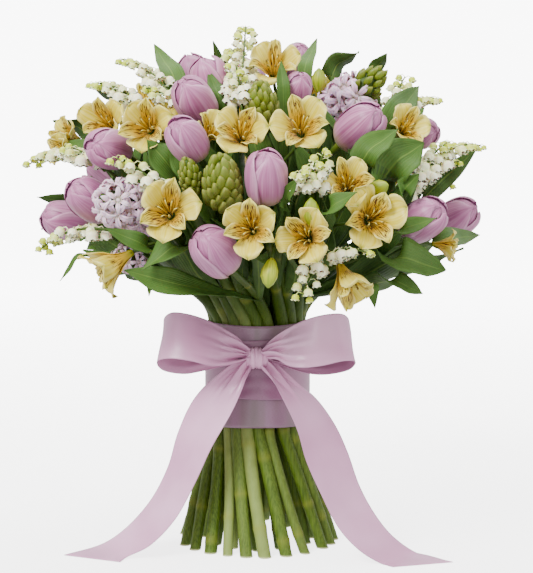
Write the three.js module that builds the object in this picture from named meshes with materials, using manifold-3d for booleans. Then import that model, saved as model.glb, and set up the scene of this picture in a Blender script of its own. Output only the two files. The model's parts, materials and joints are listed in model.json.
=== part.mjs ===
// A hand-tied spring bouquet, 0.46 m tall, standing on its own cut stems: lilac-pink tulips, hyacinths,
// yellow Peruvian lilies and lily of the valley over tulip leaves, bound with a satin band and a bow.
// Millimetres, +Z up. The front faces -Y, and the middle stem's cut end is centred on the origin.
import * as THREE from "three";
import { mergeVertices } from "three/addons/utils/BufferGeometryUtils.js";
import Module from "manifold-3d";

const wasm = await Module();
wasm.setup();

// ---------------------------------------------------------------- driving dimensions, in mm
const HEAD = { middle: 285, radius: 195, depth: 190, rise: 160 }; // the dome that the flower tips reach
const STEM = { sides: 5, thick: 5.9, slim: 3.6, foot: 5.3 }; // radii at the band, at a flower, at the floor
const BAND = { low: 108, high: 199, inner: 45, wall: 1.1, wrapLow: 134, wrapHigh: 186, wrapWall: 1 };
const RIBBON = { width: 46, wall: 1.3 };
const TULIP = { length: 49, radius: 18 };
const PERUVIAN = { length: 34, radius: 25, bud: 24 };
const BELL = { radius: 4.2, reach: 9, drop: 8 };
const LEAF = { thick: 1.7 };
const GAP = 0.35; // what is left between two pieces that press on each other

// Where the eye stands that sees the bouquet as pictured, and the picture's focal length and middle in pixels.
const EYE = { at: [8.1, -1305, 332.5], down: 4.5, focal: 1450, middle: [266.5, 286.5] };

// Rings of stems at the band: radius, and each stem's angle from the middle of its third.
const RINGS = [
  { radius: 20, angles: [-14, 14] },
  { radius: 29.2, angles: [-42, -14, 14, 42] },
  { radius: 38, angles: [-49.7, -35.5, -21.3, -7.1, 7.1, 21.3, 35.5, 49.7] },
];
const THIRDS = [
  { name: "stems_leaves_left", middle: -125 },
  { name: "stems_leaves_right", middle: -5 },
  { name: "stems_leaves_back", middle: 116 },
];
const SPREAD = { inner: 24, outer: 69, turn: 20 }; // the stems' rings at the floor, and their twist below the band

// ---------------------------------------------------------------- the flowers, where they are seen
// A flower is given by the pixels where its foot and its tip are seen, in a picture 533 pixels wide. The
// tip lies on the dome, raised by lift, and the foot as far behind it as the flower's true length asks.
const TULIPS = [
  { foot: [217, 113], tip: [204, 54], size: 1.06 },
  { foot: [203, 100], tip: [187, 52], lift: -30, size: 0.9 },
  { foot: [206, 118], tip: [181, 80], lift: 6 },
  { foot: [199, 157], tip: [173, 121], lift: 20, size: 0.92 },
  { foot: [123, 154], tip: [92, 143], lift: 8 },
  { foot: [107, 214], tip: [71, 184], lift: 4 },
  { foot: [88, 224], tip: [40, 216] },
  { foot: [267, 203], tip: [265, 149], lift: 6 },
  { foot: [229, 267], tip: [199, 233], lift: 4, size: 1.06 },
  { foot: [341, 143], tip: [381, 109], lift: 4, size: 1.04 },
  { foot: [405, 135], tip: [438, 131], lift: -10, size: 0.85 },
  { foot: [293, 103], tip: [302, 74], lift: -4, size: 0.72 },
  { foot: [291, 74], tip: [301, 45], lift: -20, size: 0.8 },
  { foot: [404, 232], tip: [444, 206], lift: 8 },
  { foot: [436, 230], tip: [478, 206], lift: 0, size: 1.05 },
];
const HYACINTHS = [
  { foot: [223, 206], tip: [220, 158], length: 50, radius: 17, lift: 6 },
  { foot: [193, 193], tip: [186, 158], length: 36, radius: 9.5, lift: 8 },
  { foot: [263, 130], tip: [261, 84], length: 46, radius: 15, lift: -4 },
  { foot: [334, 112], tip: [384, 70], length: 62, radius: 21, open: true },
  { foot: [143, 214], tip: [98, 196], length: 50, radius: 20, open: true, lift: 6 },
  { foot: [143, 264], tip: [117, 251], length: 38, radius: 12, open: true, lift: -24 },
];
// Peruvian lilies stand several on a stem, each on a slim stalk from the stem's end.
const PERUVIANS = [
  { blooms: [{ foot: [153, 133], tip: [144, 124], lift: -4 }, { foot: [164, 138], tip: [163, 118], lift: -26, size: 0.8 },
    { foot: [208, 142], tip: [214, 125], lift: -16, size: 0.65 }] },
  { blooms: [{ foot: [116, 130], tip: [100, 121], lift: -8, size: 0.9 }, { foot: [76, 152], tip: [56, 149], size: 0.7 },
    { foot: [80, 140], tip: [60, 131], lift: -16, size: 0.7 }] },
  { blooms: [{ foot: [242, 144], tip: [240, 127], lift: -4 }, { foot: [301, 138], tip: [301, 122], size: 1.05 }] },
  { blooms: [{ foot: [274, 82], tip: [273, 58] }], buds: [{ foot: [320, 94], tip: [319, 68], lift: -16 }] },
  { blooms: [{ foot: [172, 218], tip: [166, 208], lift: 6, size: 1.1 }, { foot: [136, 250], tip: [98, 275] }] },
  { blooms: [{ foot: [254, 232], tip: [249, 226], lift: 4 }, { foot: [310, 240], tip: [304, 236], lift: 4 }],
    buds: [{ foot: [311, 226], tip: [311, 198] }, { foot: [272, 258], tip: [268, 288] }], sink: 0.2 },
  { blooms: [{ foot: [366, 222], tip: [376, 217], lift: 6, size: 1.1 }, { foot: [346, 192], tip: [349, 181], size: 0.9 }],
    buds: [{ foot: [366, 192], tip: [388, 185] }] },
  { blooms: [{ foot: [398, 136], tip: [410, 124], size: 0.8 }] },
  { blooms: [{ foot: [338, 262], tip: [352, 294], size: 0.9 }, { foot: [428, 243], tip: [456, 248], size: 0.6 }] },
];
const VALLEY_SPRAYS = [
  { foot: [242, 108], tips: [[246, 27], [232, 50]], lift: -4 },
  { foot: [178, 106], tips: [[120, 60], [146, 88]], lift: -4 },
  { foot: [140, 106], tips: [[91, 84]] },
  { foot: [92, 160], tips: [[30, 164], [64, 146]], lift: 4 },
  { foot: [158, 187], tips: [[115, 158]], lift: 6 },
  { foot: [99, 229], tips: [[42, 248]], lift: 8 },
  { foot: [310, 190], tips: [[315, 162]], lift: 6 },
  { foot: [418, 180], tips: [[481, 146], [450, 142]] },
  { foot: [392, 114], tips: [[405, 77], [438, 99]] },
  { foot: [324, 254], tips: [[368, 253], [302, 297]] },
];
// A leaf is given by the pixels of its tip and of its widest part, and its width.
const LEAVES = [
  { tip: [154, 45], wide: [174, 78], width: 20 }, { tip: [92, 88], wide: [126, 104], width: 24, lift: -10 },
  { tip: [53, 121], wide: [80, 128], width: 15, lift: -36 }, { tip: [63, 142], wide: [108, 158], width: 28, lift: -16 },
  { tip: [213, 41], wide: [226, 84], width: 14, lift: -24 }, { tip: [208, 71], wide: [219, 98], width: 16, lift: -14 },
  { tip: [147, 140], wide: [166, 162], width: 26, lift: -12 }, { tip: [172, 141], wide: [184, 166], width: 20, lift: -18 },
  { tip: [37, 197], wide: [72, 203], width: 14, lift: -36 }, { tip: [41, 229], wide: [80, 233], width: 13, lift: -50 },
  { tip: [141, 271], wide: [175, 247], width: 27 }, { tip: [105, 228], wide: [140, 243], width: 15 },
  { tip: [124, 270], wide: [168, 282], width: 22 }, { tip: [60, 281], wide: [80, 256], width: 7 },
  { tip: [149, 296], wide: [152, 280], width: 8 }, { tip: [317, 39], wide: [305, 68], width: 13 },
  { tip: [359, 52], wide: [336, 66], width: 22, lift: -42 }, { tip: [387, 54], wide: [376, 68], width: 14, lift: -34 },
  { tip: [419, 86], wide: [395, 118], width: 27 }, { tip: [281, 61], wide: [283, 88], width: 11 },
  { tip: [398, 129], wide: [368, 152], width: 25 }, { tip: [424, 143], wide: [396, 162], width: 36 },
  { tip: [477, 149], wide: [442, 180], width: 19, lift: -14 }, { tip: [419, 174], wide: [404, 190], width: 18 },
  { tip: [297, 179], wide: [287, 197], width: 12 }, { tip: [357, 192], wide: [333, 206], width: 16, lift: 16 },
  { tip: [437, 218], wide: [404, 229], width: 15, lift: 12 }, { tip: [480, 235], wide: [442, 240], width: 19 },
  { tip: [445, 271], wide: [402, 258], width: 36 }, { tip: [423, 294], wide: [394, 281], width: 21 },
  { tip: [375, 308], wide: [370, 286], width: 12 }, { tip: [194, 186], wide: [208, 208], width: 22, lift: -16 },
  { tip: [424, 108], wide: [410, 124], width: 12 }, { tip: [266, 264], wide: [259, 256], width: 14, lift: -10 },
];

// ---------------------------------------------------------------- points and directions
const point = (x, y, z) => new THREE.Vector3(x, y, z);
const polar = (radius, degrees, z) => {
  const a = THREE.MathUtils.degToRad(degrees);
  return point(radius * Math.cos(a), radius * Math.sin(a), z);
};
const azimuthOf = (p) => THREE.MathUtils.radToDeg(Math.atan2(p.y, p.x));
const mix = (a, b, t) => a.clone().lerp(b, t);
const towards = (a, b) => b.clone().sub(a).normalize();

// The line of sight through a pixel.
function sight([u, v]) {
  const pitch = THREE.MathUtils.degToRad(EYE.down);
  const ahead = point(0, Math.cos(pitch), -Math.sin(pitch));
  const up = point(0, Math.sin(pitch), Math.cos(pitch));
  return ahead
    .addScaledVector(up, (EYE.middle[1] - v) / EYE.focal)
    .add(point((u - EYE.middle[0]) / EYE.focal, 0, 0))
    .normalize();
}

// The point that a pixel shows on the dome, grown by lift, or that much before the axis where it misses.
function onDome(pixel, lift = 0) {
  const ray = sight(pixel);
  const radii = [HEAD.radius + lift, HEAD.depth + lift, HEAD.rise + lift];
  const from = [EYE.at[0], EYE.at[1], EYE.at[2] - HEAD.middle].map((x, i) => x / radii[i]);
  const way = ray.toArray().map((x, i) => x / radii[i]);
  const dot = (p, q) => p[0] * q[0] + p[1] * q[1] + p[2] * q[2];
  const half = dot(from, way) / dot(way, way);
  const inside = half * half - (dot(from, from) - 1) / dot(way, way);
  const level = (-lift - EYE.at[1]) / ray.y;
  const reach = inside > 0 ? Math.min(-half - Math.sqrt(inside), level) : level;
  return point(...EYE.at).addScaledVector(ray, reach);
}

// The foot of a flower of that length, seen at a pixel and standing behind its tip.
function footBehind(tip, pixel, length) {
  const eye = point(...EYE.at);
  const ray = sight(pixel);
  const nearest = ray.dot(tip.clone().sub(eye));
  const aside = eye.clone().addScaledVector(ray, nearest).distanceTo(tip);
  const behind = aside < length ? Math.sqrt(length * length - aside * aside) : 0;
  const foot = eye.addScaledVector(ray, nearest + behind);
  return tip.clone().addScaledVector(towards(tip, foot), length);
}

// ---------------------------------------------------------------- solids
// Two faces on the same three corners are a fold with nothing in it, so both are left out.
function solid(geometry, nearest = 1e-3) {
  geometry.deleteAttribute("normal");
  geometry.deleteAttribute("uv");
  const merged = mergeVertices(geometry, nearest);
  const corners = merged.index.array;
  const kept = new Map();
  for (let i = 0; i < corners.length; i += 3) {
    const face = corners.slice(i, i + 3);
    const name = [...face].sort().join();
    if (new Set(face).size < 3 || kept.delete(name)) continue;
    kept.set(name, face);
  }
  const faces = [...kept.values()].flatMap((face) => [...face]);
  const made = (triVerts) =>
    new wasm.Manifold(
      new wasm.Mesh({ numProp: 3, vertProperties: merged.attributes.position.array, triVerts: new Uint32Array(triVerts) }),
    );
  const body = made(faces);
  return body.volume() > 0 ? body : made(faces.reverse());
}

// A closed skin over rings of points that follow each other, with flat or pointed ends, set in its place.
// Each four-cornered face is split along the diagonal from its first corner, or along the other one where crossed says so.
function skin(rings, place = new THREE.Matrix4(), crossed = []) {
  const n = rings[0].length;
  const last = (rings.length - 1) * n;
  const index = [];
  for (let i = 0; i + 1 < rings.length; i++)
    for (let k = 0; k < n; k++) {
      const a = i * n + k;
      const b = i * n + ((k + 1) % n);
      index.push(...(crossed.includes(k) ? [a, b, a + n, b, b + n, a + n] : [a, b, b + n, a, b + n, a + n]));
    }
  for (let k = 1; k + 1 < n; k++) index.push(0, k + 1, k, last, last + k, last + k + 1);
  const geometry = new THREE.BufferGeometry().setFromPoints(rings.flat());
  geometry.setIndex(index);
  return solid(geometry.applyMatrix4(place));
}

const join = (bodies) => bodies.reduce((a, b) => a.add(b));
const largest = (body) => body.decompose().reduce((a, b) => (b.volume() > a.volume() ? b : a));

// A round ring of points about a centre, square to a direction, with a first point on the side given.
function ringAt(centre, direction, radius, sides, side, turn = 0) {
  const across = side.clone().addScaledVector(direction, -side.dot(direction)).normalize();
  const other = direction.clone().cross(across);
  return Array.from({ length: sides }, (_, k) => {
    const a = turn + (2 * Math.PI * k) / sides;
    return centre.clone().addScaledVector(across, radius * Math.cos(a)).addScaledVector(other, radius * Math.sin(a));
  });
}

// The direction of travel at each point of a route, with the last one given where it meets something square on.
function headings(route, last) {
  const ways = route.map((p, i) => towards(route[Math.max(0, i - 1)], route[Math.min(route.length - 1, i + 1)]));
  return last ? [...ways.slice(0, -1), last] : ways;
}

function tube(route, radii, sides, side, last) {
  const ways = headings(route, last);
  return skin(route.map((p, i) => ringAt(p, ways[i], Array.isArray(radii) ? radii[i] : radii, sides, side)));
}

function bezier(a, b, c, d, steps) {
  return new THREE.CubicBezierCurve3(a, b, c, d).getPoints(steps);
}

// A folded blade along a route: its two edges stand forward of the midrib by fold times the half width.
function blade(route, widths, outward, thick, fold) {
  const ways = headings(route);
  return skin(
    route.map((p, i) => {
      const face = outward.clone().addScaledVector(ways[i], -outward.dot(ways[i])).normalize();
      const across = ways[i].clone().cross(face);
      const half = widths[i] / 2;
      const edge = (side) => p.clone().addScaledVector(across, side * half).addScaledVector(face, fold * half);
      return [edge(1), p.clone().addScaledVector(face, thick / 2), edge(-1), p.clone().addScaledVector(face, -thick / 2)];
    }),
    undefined,
    [2, 3],
  );
}

// The matrix that stands a piece made along +Z on its foot, pointing at its tip.
function standing(foot, tip, turn = 0) {
  const up = towards(foot, tip);
  const turned = new THREE.Quaternion().setFromUnitVectors(point(0, 0, 1), up);
  const spin = new THREE.Quaternion().setFromAxisAngle(point(0, 0, 1), THREE.MathUtils.degToRad(turn));
  return new THREE.Matrix4().compose(foot, turned.multiply(spin), point(1, 1, 1));
}

// ---------------------------------------------------------------- flowers, made along +Z from their foot
// A row of points round the axis, one for each lobe and each notch between lobes.
const lobed = (count, radiusOf, heightOf) =>
  Array.from({ length: count }, (_, k) => polar(radiusOf(k), (360 * k) / count, heightOf(k)));
const round = (count, radius, height) => lobed(count, () => radius, () => height);
// A ring of six points, each given twice, under a ring of twelve.
const paired = (radius, height) => Array.from({ length: 12 }, (_, k) => polar(radius, 60 * Math.floor(k / 2) + 15, height));

// A closed tulip: three outer petals over three inner ones, with their six tips parted at the top.
function tulip(length, radius, place) {
  const rim = [[0.5, 1], [0.78, 0.83], [0.4, 0.97], [0.78, 0.83]]; // outer tip, notch, inner tip, notch
  const girth = (share) => (k) => radius * share * (1 + 0.06 * Math.cos((Math.PI * k) / 2));
  return skin([
    paired(radius * 0.3, 0),
    lobed(12, girth(0.82), () => length * 0.14),
    lobed(12, girth(1), () => length * 0.5),
    lobed(12, (k) => radius * rim[k % 4][0], (k) => length * rim[k % 4][1]),
    round(12, 0, length * 0.78),
  ], place);
}

// A hyacinth's head: buds in rows that stand out of one spindle, each row turned half a step on the last.
function hyacinthHead(length, radius, rows, around, place) {
  const rings = Array.from({ length: rows }, (_, row) => {
    const share = (row + 0.5) / rows;
    const girth = Math.sqrt(1 - (1.7 * share - 0.75) ** 2);
    return lobed(around, (k) => radius * girth * ((k + row) % 2 ? 0.6 : 1),
      (k) => length * (share + ((k + row) % 2 ? -0.03 : 0.04)));
  });
  return skin([round(around, 0, 0), ...rings, round(around, 0, length)], place);
}

// One open floret of a hyacinth: a six-pointed star on a short tube.
function floret(root, tip, radius) {
  const way = towards(root, tip);
  const star = ringAt(tip, way, 1, 12, point(0, 0, 1)).map((p, k) =>
    p.sub(tip).multiplyScalar(radius * (k % 2 ? 0.4 : 1)).addScaledVector(way, k % 2 ? -1 : 1.5).add(tip));
  return skin([Array(12).fill(root), star, Array(12).fill(mix(root, tip, 0.82))]);
}

function hyacinth({ length, radius, open }, place) {
  if (!open) return hyacinthHead(length, radius, 7, 10, place);
  const parts = [hyacinthHead(length, radius * 0.7, 4, 6, place)];
  for (let i = 0; i < 6; i++) {
    const height = length * (0.12 + 0.1 * i);
    const root = polar(radius * 0.25, i * 137.5, height - 1).applyMatrix4(place);
    const tip = polar(radius * 0.98, i * 137.5, height).applyMatrix4(place);
    parts.push(floret(root, tip, radius * 0.62));
  }
  return join(parts);
}

// An open Peruvian lily: three broad outer petals and three narrow inner ones round one throat.
function peruvian(length, radius, place) {
  const rim = [[1, 0.8], [0.66, 0.74], [0.88, 1], [0.66, 0.74]]; // outer petal, notch, inner petal, notch
  return skin([
    round(12, 0, 0),
    paired(radius * 0.28, length * 0.34),
    lobed(12, (k) => radius * rim[k % 4][0], (k) => length * rim[k % 4][1]),
    round(12, 0, length * 0.3),
  ], place);
}
const peruvianBud = (length, radius, place) =>
  skin([round(5, 0, 0), round(5, radius, length * 0.5), round(5, radius * 0.7, length * 0.82), round(5, 0, length)], place);

// One nodding bell of lily of the valley on its stalk, from a point on the stem towards one side.
function bell(root, side, size) {
  const reach = side.clone().multiplyScalar(BELL.reach * size);
  const crown = root.clone().add(reach).add(point(0, 0, 1.5 * size));
  const down = point(0, 0, -1).addScaledVector(side, 0.35).normalize();
  const ring = (radius, drop) => {
    const centre = crown.clone().addScaledVector(down, drop * size);
    return ringAt(centre, down, radius * size, 4, side, Math.PI / 4);
  };
  return skin([Array(4).fill(root), ring(BELL.radius * 0.9, 2), ring(BELL.radius, BELL.drop)]);
}

// The arched route of a spray's stem, from its foot to its tip.
function sprayRoute(foot, tip) {
  const rise = tip.distanceTo(foot) * 0.12;
  return bezier(foot, mix(foot, tip, 0.35).add(point(0, 0, rise)), mix(foot, tip, 0.7).add(point(0, 0, rise)), tip, 4);
}

function valleySpray(route) {
  const outward = towards(point(0, 0, HEAD.middle - 60), route[2]);
  const parts = [tube(route, [1.5, 1.4, 1.2, 1, 0.8], 3, point(0.31, 0.17, 0.93))];
  const curve = new THREE.CatmullRomCurve3(route);
  const count = Math.min(7, Math.max(5, Math.round(curve.getLength() / 11)));
  for (let i = 0; i < count; i++) {
    const share = 0.2 + (0.78 * i) / (count - 1);
    const way = curve.getTangentAt(share);
    const across = way.clone().cross(outward).normalize();
    const side = across.multiplyScalar(i % 2 ? 1 : -1).addScaledVector(outward, 0.45 * (i % 3)).normalize();
    parts.push(bell(curve.getPointAt(share), side, 1.12 - 0.55 * share));
  }
  return join(parts);
}

// ---------------------------------------------------------------- the flowers of the bouquet
const flowers = []; // what stands on a thick stem: { name, body, foot, heading, jackets }
const sprays = []; // what stands on a thin one
const numbered = (name, i) => `${name}_${String(i + 1).padStart(2, "0")}`;

// The plain solid round a flower within which no leaf or stem goes.
function jacket(foot, tip, profile) {
  return skin(profile.map(([height, radius]) => round(6, radius * 1.22 + GAP, height)), standing(foot, tip));
}

function seat({ foot, tip, lift }, length) {
  const top = Array.isArray(tip) ? onDome(tip, lift) : tip;
  return { tip: top, foot: Array.isArray(foot) ? footBehind(top, foot, length) : foot };
}

function addTulip(name, row, turn) {
  const size = row.size ?? 1;
  const length = TULIP.length * size;
  const radius = TULIP.radius * size;
  const { foot, tip } = seat(row, length);
  flowers.push({
    name, foot, heading: towards(foot, tip), slim: STEM.slim,
    body: tulip(length, radius, standing(foot, tip, turn)),
    jackets: [jacket(foot, tip, [[-GAP, radius * 0.3], [length * 0.14, radius * 0.9], [length * 0.5, radius * 1.06],
      [length + GAP, radius * 0.6]])],
  });
}

function addHyacinth(name, row, turn) {
  const { foot, tip } = seat(row, row.length);
  const { length, radius } = row;
  flowers.push({
    name, foot, heading: towards(foot, tip), slim: STEM.slim + 1,
    body: hyacinth(row, standing(foot, tip, turn)),
    jackets: [jacket(foot, tip, [[-GAP, 0.3 * radius], [length * 0.1, radius], [length * 0.6, radius * 1.1],
      [length * 1.04, radius * 0.4]])],
  });
}

// A stem's head of Peruvian lilies: its blooms and buds on stalks that leave the stem's end together.
function addPeruvian(name, { blooms, buds = [], sink = 0.34 }) {
  const seats = [
    ...blooms.map((row) => ({ ...seat(row, PERUVIAN.length * (row.size ?? 1)), size: row.size ?? 1 })),
    ...buds.map((row) => ({ ...seat(row, PERUVIAN.bud), bud: true })),
  ];
  const middle = seats.reduce((sum, s) => sum.add(s.foot), point(0, 0, 0)).divideScalar(seats.length);
  const hub = mix(middle, point(0, 0, HEAD.middle - 55), sink);
  const heading = towards(hub, middle);
  const parts = [tube([hub, hub.clone().addScaledVector(heading, 6)], 3, 5, point(0.2, 0.4, 0.9))];
  const jackets = [jacket(hub, middle, [[-GAP, 3], [6, 3.4]])];
  seats.forEach(({ foot, tip, size, bud }, i) => {
    const lead = hub.distanceTo(foot) * 0.4;
    const way = towards(foot, tip);
    const start = hub.clone().addScaledVector(heading, 3);
    const route = bezier(start, start.clone().addScaledVector(heading, lead), foot.clone().addScaledVector(way, -lead), foot.clone().addScaledVector(way, 4), 2);
    parts.push(tube(route, 1.6, 3, point(0.3, 0.2, 0.9)));
    jackets.push(tube(route, 3.2, 4, point(0.3, 0.2, 0.9)));
    const length = bud ? PERUVIAN.bud : PERUVIAN.length * size;
    const radius = bud ? 7 : PERUVIAN.radius * size;
    parts.push((bud ? peruvianBud : peruvian)(length, radius, standing(foot, tip, 40 * i + 15)));
    jackets.push(jacket(foot, tip, bud ? [[0, 3], [length * 0.5, radius], [length, 2]] : [[0, 1], [length * 0.36, radius * 0.5], [length * 0.8, radius], [length, radius]]));
  });
  flowers.push({ name, foot: hub, heading, slim: 3, body: largest(join(parts)), jackets });
}

function addSpray(name, { foot, tips, lift = 0 }) {
  const ends = tips.map((pixel) => (Array.isArray(pixel) ? onDome(pixel, lift) : pixel));
  const root = Array.isArray(foot) ? onDome(foot, lift - 22) : foot;
  const routes = ends.map((tip) => sprayRoute(root, tip));
  const heading = towards(root, routes.reduce((sum, route) => sum.add(route[1]), point(0, 0, 0)).divideScalar(routes.length));
  const body = join(routes.map(valleySpray));
  sprays.push({
    name, foot: root, heading, body: largest(body),
    jackets: routes.map((route) => tube([route[0], route[2], route[4]], [5, 14, 8], 5, point(0.3, 0.2, 0.9))),
  });
}

TULIPS.forEach((row, i) => addTulip(numbered("tulip", i), row, 25 * i));
HYACINTHS.forEach((row, i) => addHyacinth(numbered("hyacinth", i), row, 30 * i));
PERUVIANS.forEach((row, i) => addPeruvian(numbered("peruvian_lilies", i), row));
VALLEY_SPRAYS.forEach((row, i) => addSpray(numbered("lily_of_the_valley", i), row));

// ---------------------------------------------------------------- the back, which is filled by a rule
// A place on the dome by its azimuth and its height above the dome's middle, both in degrees.
function domePlace(azimuth, height, inward = 0) {
  const a = THREE.MathUtils.degToRad(azimuth);
  const h = THREE.MathUtils.degToRad(height);
  return point(
    (HEAD.radius - inward) * Math.cos(h) * Math.cos(a),
    (HEAD.depth - inward) * Math.cos(h) * Math.sin(a),
    HEAD.middle + (HEAD.rise - inward) * Math.sin(h),
  );
}
// A flower there, which points away from a spot low on the bouquet's axis.
function outwards(azimuth, height, length, inward = 0) {
  const tip = domePlace(azimuth, height, inward);
  return { tip, foot: tip.clone().addScaledVector(towards(tip, point(0, 0, HEAD.middle - 70)), length) };
}
const BACK = {
  tulips: [[38, 2], [68, 24], [96, 4], [118, 44], [152, 22], [100, 74]],
  hyacinths: [[84, 42], [128, 12], [40, 44]],
  peruvians: [[[46, 8], [40, 28], [60, 56]], [[78, 12], [92, 26], [98, 50]], [[142, 0], [140, 36], [150, 50]]],
  sprays: [[13, 15], [112, 24]],
  leaves: [[10, -8], [24, 16], [24, 52], [56, -6], [56, 36], [72, 50], [82, -6], [104, 14], [112, -8], [130, 34],
    [146, -8], [168, 6]],
};
BACK.tulips.forEach(([azimuth, height], i) =>
  addTulip(numbered("tulip", TULIPS.length + i), outwards(azimuth, height, TULIP.length), 25 * i));
BACK.hyacinths.forEach(([azimuth, height], i) =>
  addHyacinth(numbered("hyacinth", HYACINTHS.length + i),
    { ...outwards(azimuth, height, 50), length: 50, radius: 18, open: i === 1 }, 40 * i));
BACK.peruvians.forEach((places, i) =>
  addPeruvian(numbered("peruvian_lilies", PERUVIANS.length + i),
    { blooms: places.map(([azimuth, height]) => outwards(azimuth, height, PERUVIAN.length)) }));
BACK.sprays.forEach(([azimuth, height], i) =>
  addSpray(numbered("lily_of_the_valley", VALLEY_SPRAYS.length + i),
    { foot: domePlace(azimuth, height, 60), tips: [domePlace(azimuth - 10, height + 6), domePlace(azimuth + 8, height - 2)] }));

// ---------------------------------------------------------------- stems
// The flower nearest the top stands on the middle stem. The rest go by azimuth into thirds, and in each
// third the highest flowers take the inner ring.
const steepness = (f) => Math.atan2(f.foot.z - BAND.high, Math.hypot(f.foot.x, f.foot.y));
const byAzimuth = (a, b) => turnFrom(a) - turnFrom(b);
const FIRST_AZIMUTH = -200; // where the left third begins
const turnFrom = (f) => (azimuthOf(f.foot) - FIRST_AZIMUTH + 720) % 360;

function allot() {
  const bySteepness = [...flowers].sort((a, b) => steepness(b) - steepness(a));
  const [middle, ...rest] = bySteepness;
  middle.slot = { radius: 0, angle: 0, third: -1 };
  rest.sort(byAzimuth);
  const share = Math.ceil(rest.length / THIRDS.length);
  THIRDS.forEach((third, t) => {
    const own = rest.slice(t * share, (t + 1) * share).sort((a, b) => steepness(b) - steepness(a));
    let first = 0;
    for (const { radius, angles } of RINGS) {
      const ring = own.slice(first, first + angles.length).sort(byAzimuth);
      first += angles.length;
      ring.forEach((f, k) => {
        f.slot = { radius, angle: third.middle + angles[k], third: t };
      });
    }
  });
}
allot();

// The route of a flower's stem: from the floor, straight to the band, through it, and in a curve to the flower.
function stemRoute({ foot, heading, slot }) {
  const { radius, angle } = slot;
  const floor = radius ? SPREAD.inner + ((SPREAD.outer - SPREAD.inner) * (radius - 20)) / 18 : 0;
  const out = radius ? polar(1, angle, 0) : point(0, 0, 0);
  const aside = radius ? polar(1, angle - 90, 0) : point(0, 0, 0);
  const top = polar(radius, angle, BAND.high + 3);
  const span = top.distanceTo(foot);
  const lead = point(0, 0, 0.85).addScaledVector(out, 0.3).addScaledVector(aside, 0.4).normalize();
  const upper = bezier(top, top.clone().addScaledVector(lead, span * 0.33), foot.clone().addScaledVector(heading, -span * 0.33), foot, 3);
  return [polar(floor, angle + SPREAD.turn, 0), polar(radius, angle, BAND.low - 3), ...upper];
}

function stemBody(flower) {
  const route = stemRoute(flower);
  flower.route = route;
  const reach = [...route.slice(0, -1), flower.foot.clone().addScaledVector(flower.heading, -GAP)];
  const { thick, slim, foot, sides } = STEM;
  const radii = [foot, thick, thick, (thick + flower.slim) / 2, flower.slim, flower.slim];
  const ways = headings(reach, flower.heading);
  ways[0] = point(0, 0, 1);
  ways[1] = point(0, 0, 1);
  ways[2] = point(0, 0, 1);
  const side = polar(1, flower.slot.angle, 0.01);
  return skin(reach.map((p, i) => ringAt(p, ways[i], radii[i], sides, side)));
}

// The stem that a leaf or a thin stem grows from: the one whose flower stands nearest in direction.
function hostOf(target) {
  const centre = point(0, 0, BAND.high);
  const way = towards(centre, target);
  return flowers
    .filter((f) => f.slot.third >= 0)
    .reduce((a, b) => (towards(centre, b.foot).dot(way) > towards(centre, a.foot).dot(way) ? b : a));
}

function leafBody({ tip, wide, width }, host) {
  const root = mix(host.route[2], host.route[3], 0.8);
  const away = towards(point(0, 0, root.z), root);
  const start = root.clone().addScaledVector(away, 1);
  const route = [start, mix(start, wide, 0.5).addScaledVector(away, 5), wide, mix(wide, tip, 0.5), tip];
  const smooth = new THREE.CatmullRomCurve3(route, false, "centripetal");
  const shares = width < 18 ? [0, 0.36, 0.7, 1] : [0, 0.32, 0.56, 0.8, 1];
  const widths = width < 18 ? [5, 0.9 * width, 0.9 * width, 0.6] : [6, 0.8 * width, width, 0.72 * width, 0.6];
  const outward = towards(point(0, 0, HEAD.middle - 120), wide);
  return blade(shares.map((s) => smooth.getPoint(s)), widths, outward, LEAF.thick, 0.28);
}

const thirds = THIRDS.map(() => []);
let middleStem;
for (const flower of flowers) {
  const body = stemBody(flower);
  if (flower.slot.third < 0) middleStem = body;
  else thirds[flower.slot.third].push(body);
}
for (const spray of sprays) {
  const host = hostOf(spray.foot);
  const root = host.route[3];
  const span = root.distanceTo(spray.foot);
  const end = spray.foot.clone().addScaledVector(spray.heading, -2 * GAP);
  const route = bezier(root, mix(root, spray.foot, 0.4), spray.foot.clone().addScaledVector(spray.heading, -span * 0.3), end, 3);
  thirds[host.slot.third].push(tube(route, [2, 1.6, 1.5, 1.1], 3, point(0.3, 0.2, 0.9), spray.heading));
}
const backLeaves = BACK.leaves.map(([azimuth, height]) => (
  { tip: domePlace(azimuth, height), wide: domePlace(azimuth, height - 14, 40), width: 24 }));
for (const row of [...LEAVES, ...backLeaves]) {
  const { lift = 0 } = row;
  const leaf = row.tip.isVector3 ? row : { ...row, tip: onDome(row.tip, lift + 2), wide: onDome(row.wide, lift - 14) };
  const host = hostOf(leaf.wide);
  thirds[host.slot.third].push(leafBody(leaf, host));
}

// ---------------------------------------------------------------- ribbon
// The satin band, with the ribbon's own turn raised round the middle of it.
function bandBody() {
  const { low, high, inner, wall, wrapLow, wrapHigh, wrapWall } = BAND;
  const outer = inner + wall;
  const raised = outer + wrapWall;
  const profile = [[inner, low], [outer, low], [outer, wrapLow], [raised, wrapLow], [raised, wrapHigh],
    [outer, wrapHigh], [outer, high], [inner, high], [inner, low]];
  return solid(new THREE.LatheGeometry(profile.map(([r, z]) => new THREE.Vector2(r, z)), 20).rotateX(Math.PI / 2));
}

const KNOT = point(0, -(BAND.inner + BAND.wall + BAND.wrapWall + 9.5), 172);

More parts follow.
